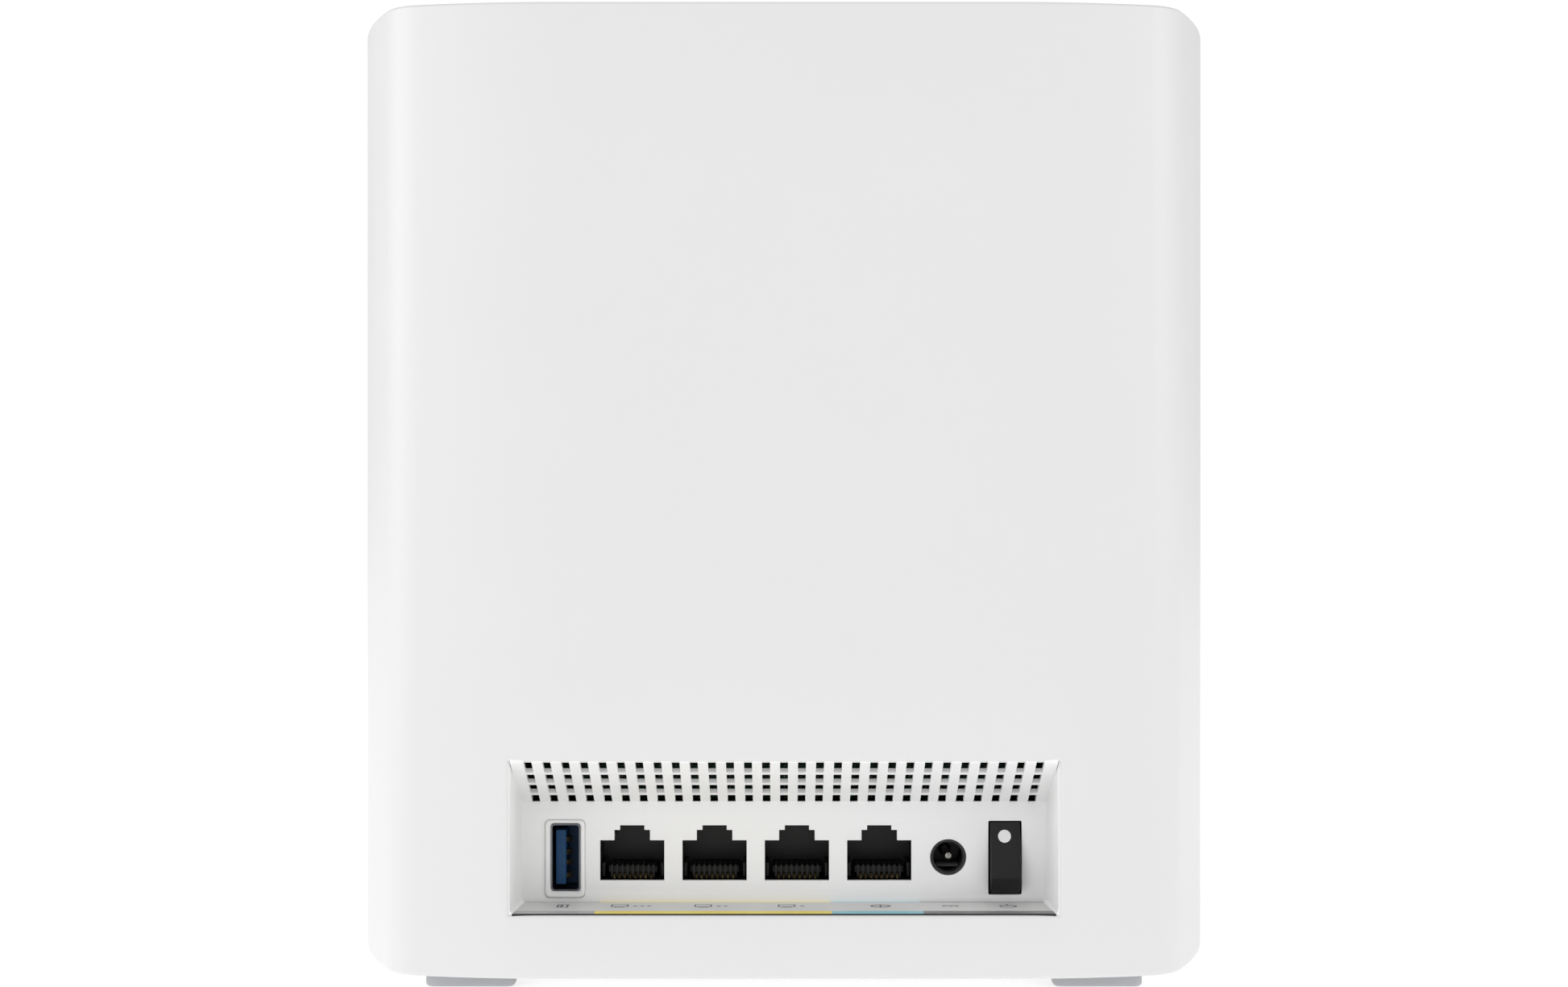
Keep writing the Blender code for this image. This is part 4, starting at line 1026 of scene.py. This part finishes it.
# ---------------------------------------------------------------- base
def base():
    inset = FLOOR_INSET + 0.12
    right = [(x - nx * inset, y - ny * inset) for x, y, nx, ny in plan_points()]
    outline = right[1:-1] + [(-x, y) for x, y in reversed(right[1:-1])]
    holes = [rounded_rectangle((-30 + 5 * k, -8.5), (1.0, 7.5), 0.95) for k in range(13)]
    holes += [circle((22.0, 12.0), 4.15), circle((-22.0, 12.0), 2.2)]
    shape = plate(outline, (LOW_Z + 0.2, LOW_Z + 2.5), "XY", [h[::-1] for h in holes], edge=0.2)
    finished("base_cover", mesh_of(shape), "case", replaces=("base_plate",))
    label = plate(rounded_rectangle((0.0, 12.0), (14.0, 8.0), 1.5), (LOW_Z + 0.12, LOW_Z + 0.21), "XY")
    finished("base_label", mesh_of(label), "label")


def feet():
    for sy, along in ((-1, "rear"), (1, "front")):
        for sx, across in ((-1, "left"), (1, "right")):
            outline = rounded_rectangle((sx * 59.7, sy * 26.75), (8.5, 2.75), 1.6)
            shape = plate(outline, (0.0, LOW_Z + 0.25), "XY", edge=0.7, steps=3)
            name = f"foot_{along}_{across}"
            finished(f"{name}_pad", mesh_of(shape), "rubber", replaces=(name,))


# ---------------------------------------------------------------- what stays as the CAD made it
KEPT = {
    "light_pipe": "lens",
    "status_led": "lens",
    "dc_jack_body": "chassis",
    "switch_body": "socket",
    "board_connector": "socket",
    "wps_tact_switch": "socket",
    "reset_tact_switch": "socket",
    "port_board": "board",
    "main_board": "board",
    "antenna_": "board",
    "processor": "chip",
    "memory_chip": "chip",
    "input_capacitor": "chip",
    "thermal_pad": "pad",
    "heat_": "aluminium",
    "shield_can": "tin",
    "chassis": "chassis",
    "lead_": "coax",
    "wps_button": "grey_button",
    "reset_button": "red_button",
    "base_screw": "zinc",
    "board_screw": "zinc",
}


def keep_cad_nodes():
    for name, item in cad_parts.items():
        if item.hide_render:
            continue
        for start, material in KEPT.items():
            if name.startswith(start):
                item.data.materials.clear()
                item.data.materials.append(MATERIALS[material])


# ---------------------------------------------------------------- stage
CAMERA_DISTANCE = 0.462  # from the rear face
CAMERA_HEIGHT = 0.09415
AIM_HEIGHT = 0.09  # where the lamps point
WORLD_LIGHT = 0.58
LIGHTS = (  # name, place, size, watts
    ("key_left", (-0.900, -0.760, 0.639), (0.7, 1.0), 3.8),
    ("edge_left", (-1.203, -0.212, 0.535), (0.7, 1.0), 4.0),
    ("fill_right", (0.965, -0.676, 0.639), (0.7, 1.0), 4.1),
    ("edge_right", (1.203, -0.212, 0.535), (0.7, 1.0), 1.2),
)


def stage():
    scene = bpy.context.scene
    scene.view_settings.view_transform = "Standard"
    world = bpy.data.worlds.new("studio")
    world.use_nodes = True
    scene.world = world
    tree = world.node_tree
    ground = tree.nodes["Background"]
    ground.inputs["Color"].default_value = (1, 1, 1, 1)
    ground.inputs["Strength"].default_value = WORLD_LIGHT
    seen = node(tree, "ShaderNodeBackground", {"Color": (1, 1, 1, 1), "Strength": 1.02})
    path = tree.nodes.new("ShaderNodeLightPath")
    mix = tree.nodes.new("ShaderNodeMixShader")
    tree.links.new(path.outputs["Is Camera Ray"], mix.inputs[0])
    tree.links.new(ground.outputs[0], mix.inputs[1])
    tree.links.new(seen.outputs[0], mix.inputs[2])
    tree.links.new(mix.outputs[0], tree.nodes["World Output"].inputs["Surface"])

    shape = bmesh.new()
    bmesh.ops.create_grid(shape, x_segments=1, y_segments=1, size=3000)
    floor = bpy.data.objects.new("floor", mesh_of(shape))
    scene.collection.objects.link(floor)
    floor.data.materials.append(floor_material())

    for name, place, size, watts in LIGHTS:
        lamp = bpy.data.lights.new(name, "AREA")
        lamp.shape = "RECTANGLE"
        lamp.size = size[0]
        lamp.size_y = size[1]
        lamp.energy = watts
        item = bpy.data.objects.new(name, lamp)
        scene.collection.objects.link(item)
        item.location = place
        aim = Vector((0, 0, AIM_HEIGHT)) - Vector(place)
        item.rotation_euler = aim.to_track_quat("-Z", "Y").to_euler()

    lens = bpy.data.cameras.new("camera")
    lens.lens = 56.8
    lens.sensor_width = 36.0
    lens.shift_y = -0.0013
    lens.clip_start = 0.01
    camera = bpy.data.objects.new("camera", lens)
    scene.collection.objects.link(camera)
    camera.location = (0, FACE_Y * MM - CAMERA_DISTANCE, CAMERA_HEIGHT)
    camera.rotation_euler = (math.pi / 2, 0, 0)
    scene.camera = camera


def floor_material():
    material = bpy.data.materials.new("floor_pale")
    material.use_nodes = True
    shader = material.node_tree.nodes["Principled BSDF"]
    shader.inputs["Base Color"].default_value = (0.9, 0.9, 0.9, 1)
    shader.inputs["Roughness"].default_value = 0.9
    shader.inputs["Specular IOR Level"].default_value = 0.1
    shader.inputs["Emission Color"].default_value = (1, 1, 1, 1)
    shader.inputs["Emission Strength"].default_value = 0.48
    return material



casing()
light_window()
bay()
usb_socket()
rj45_sockets()
dc_socket()
rocker()
base()
feet()
keep_cad_nodes()
stage()
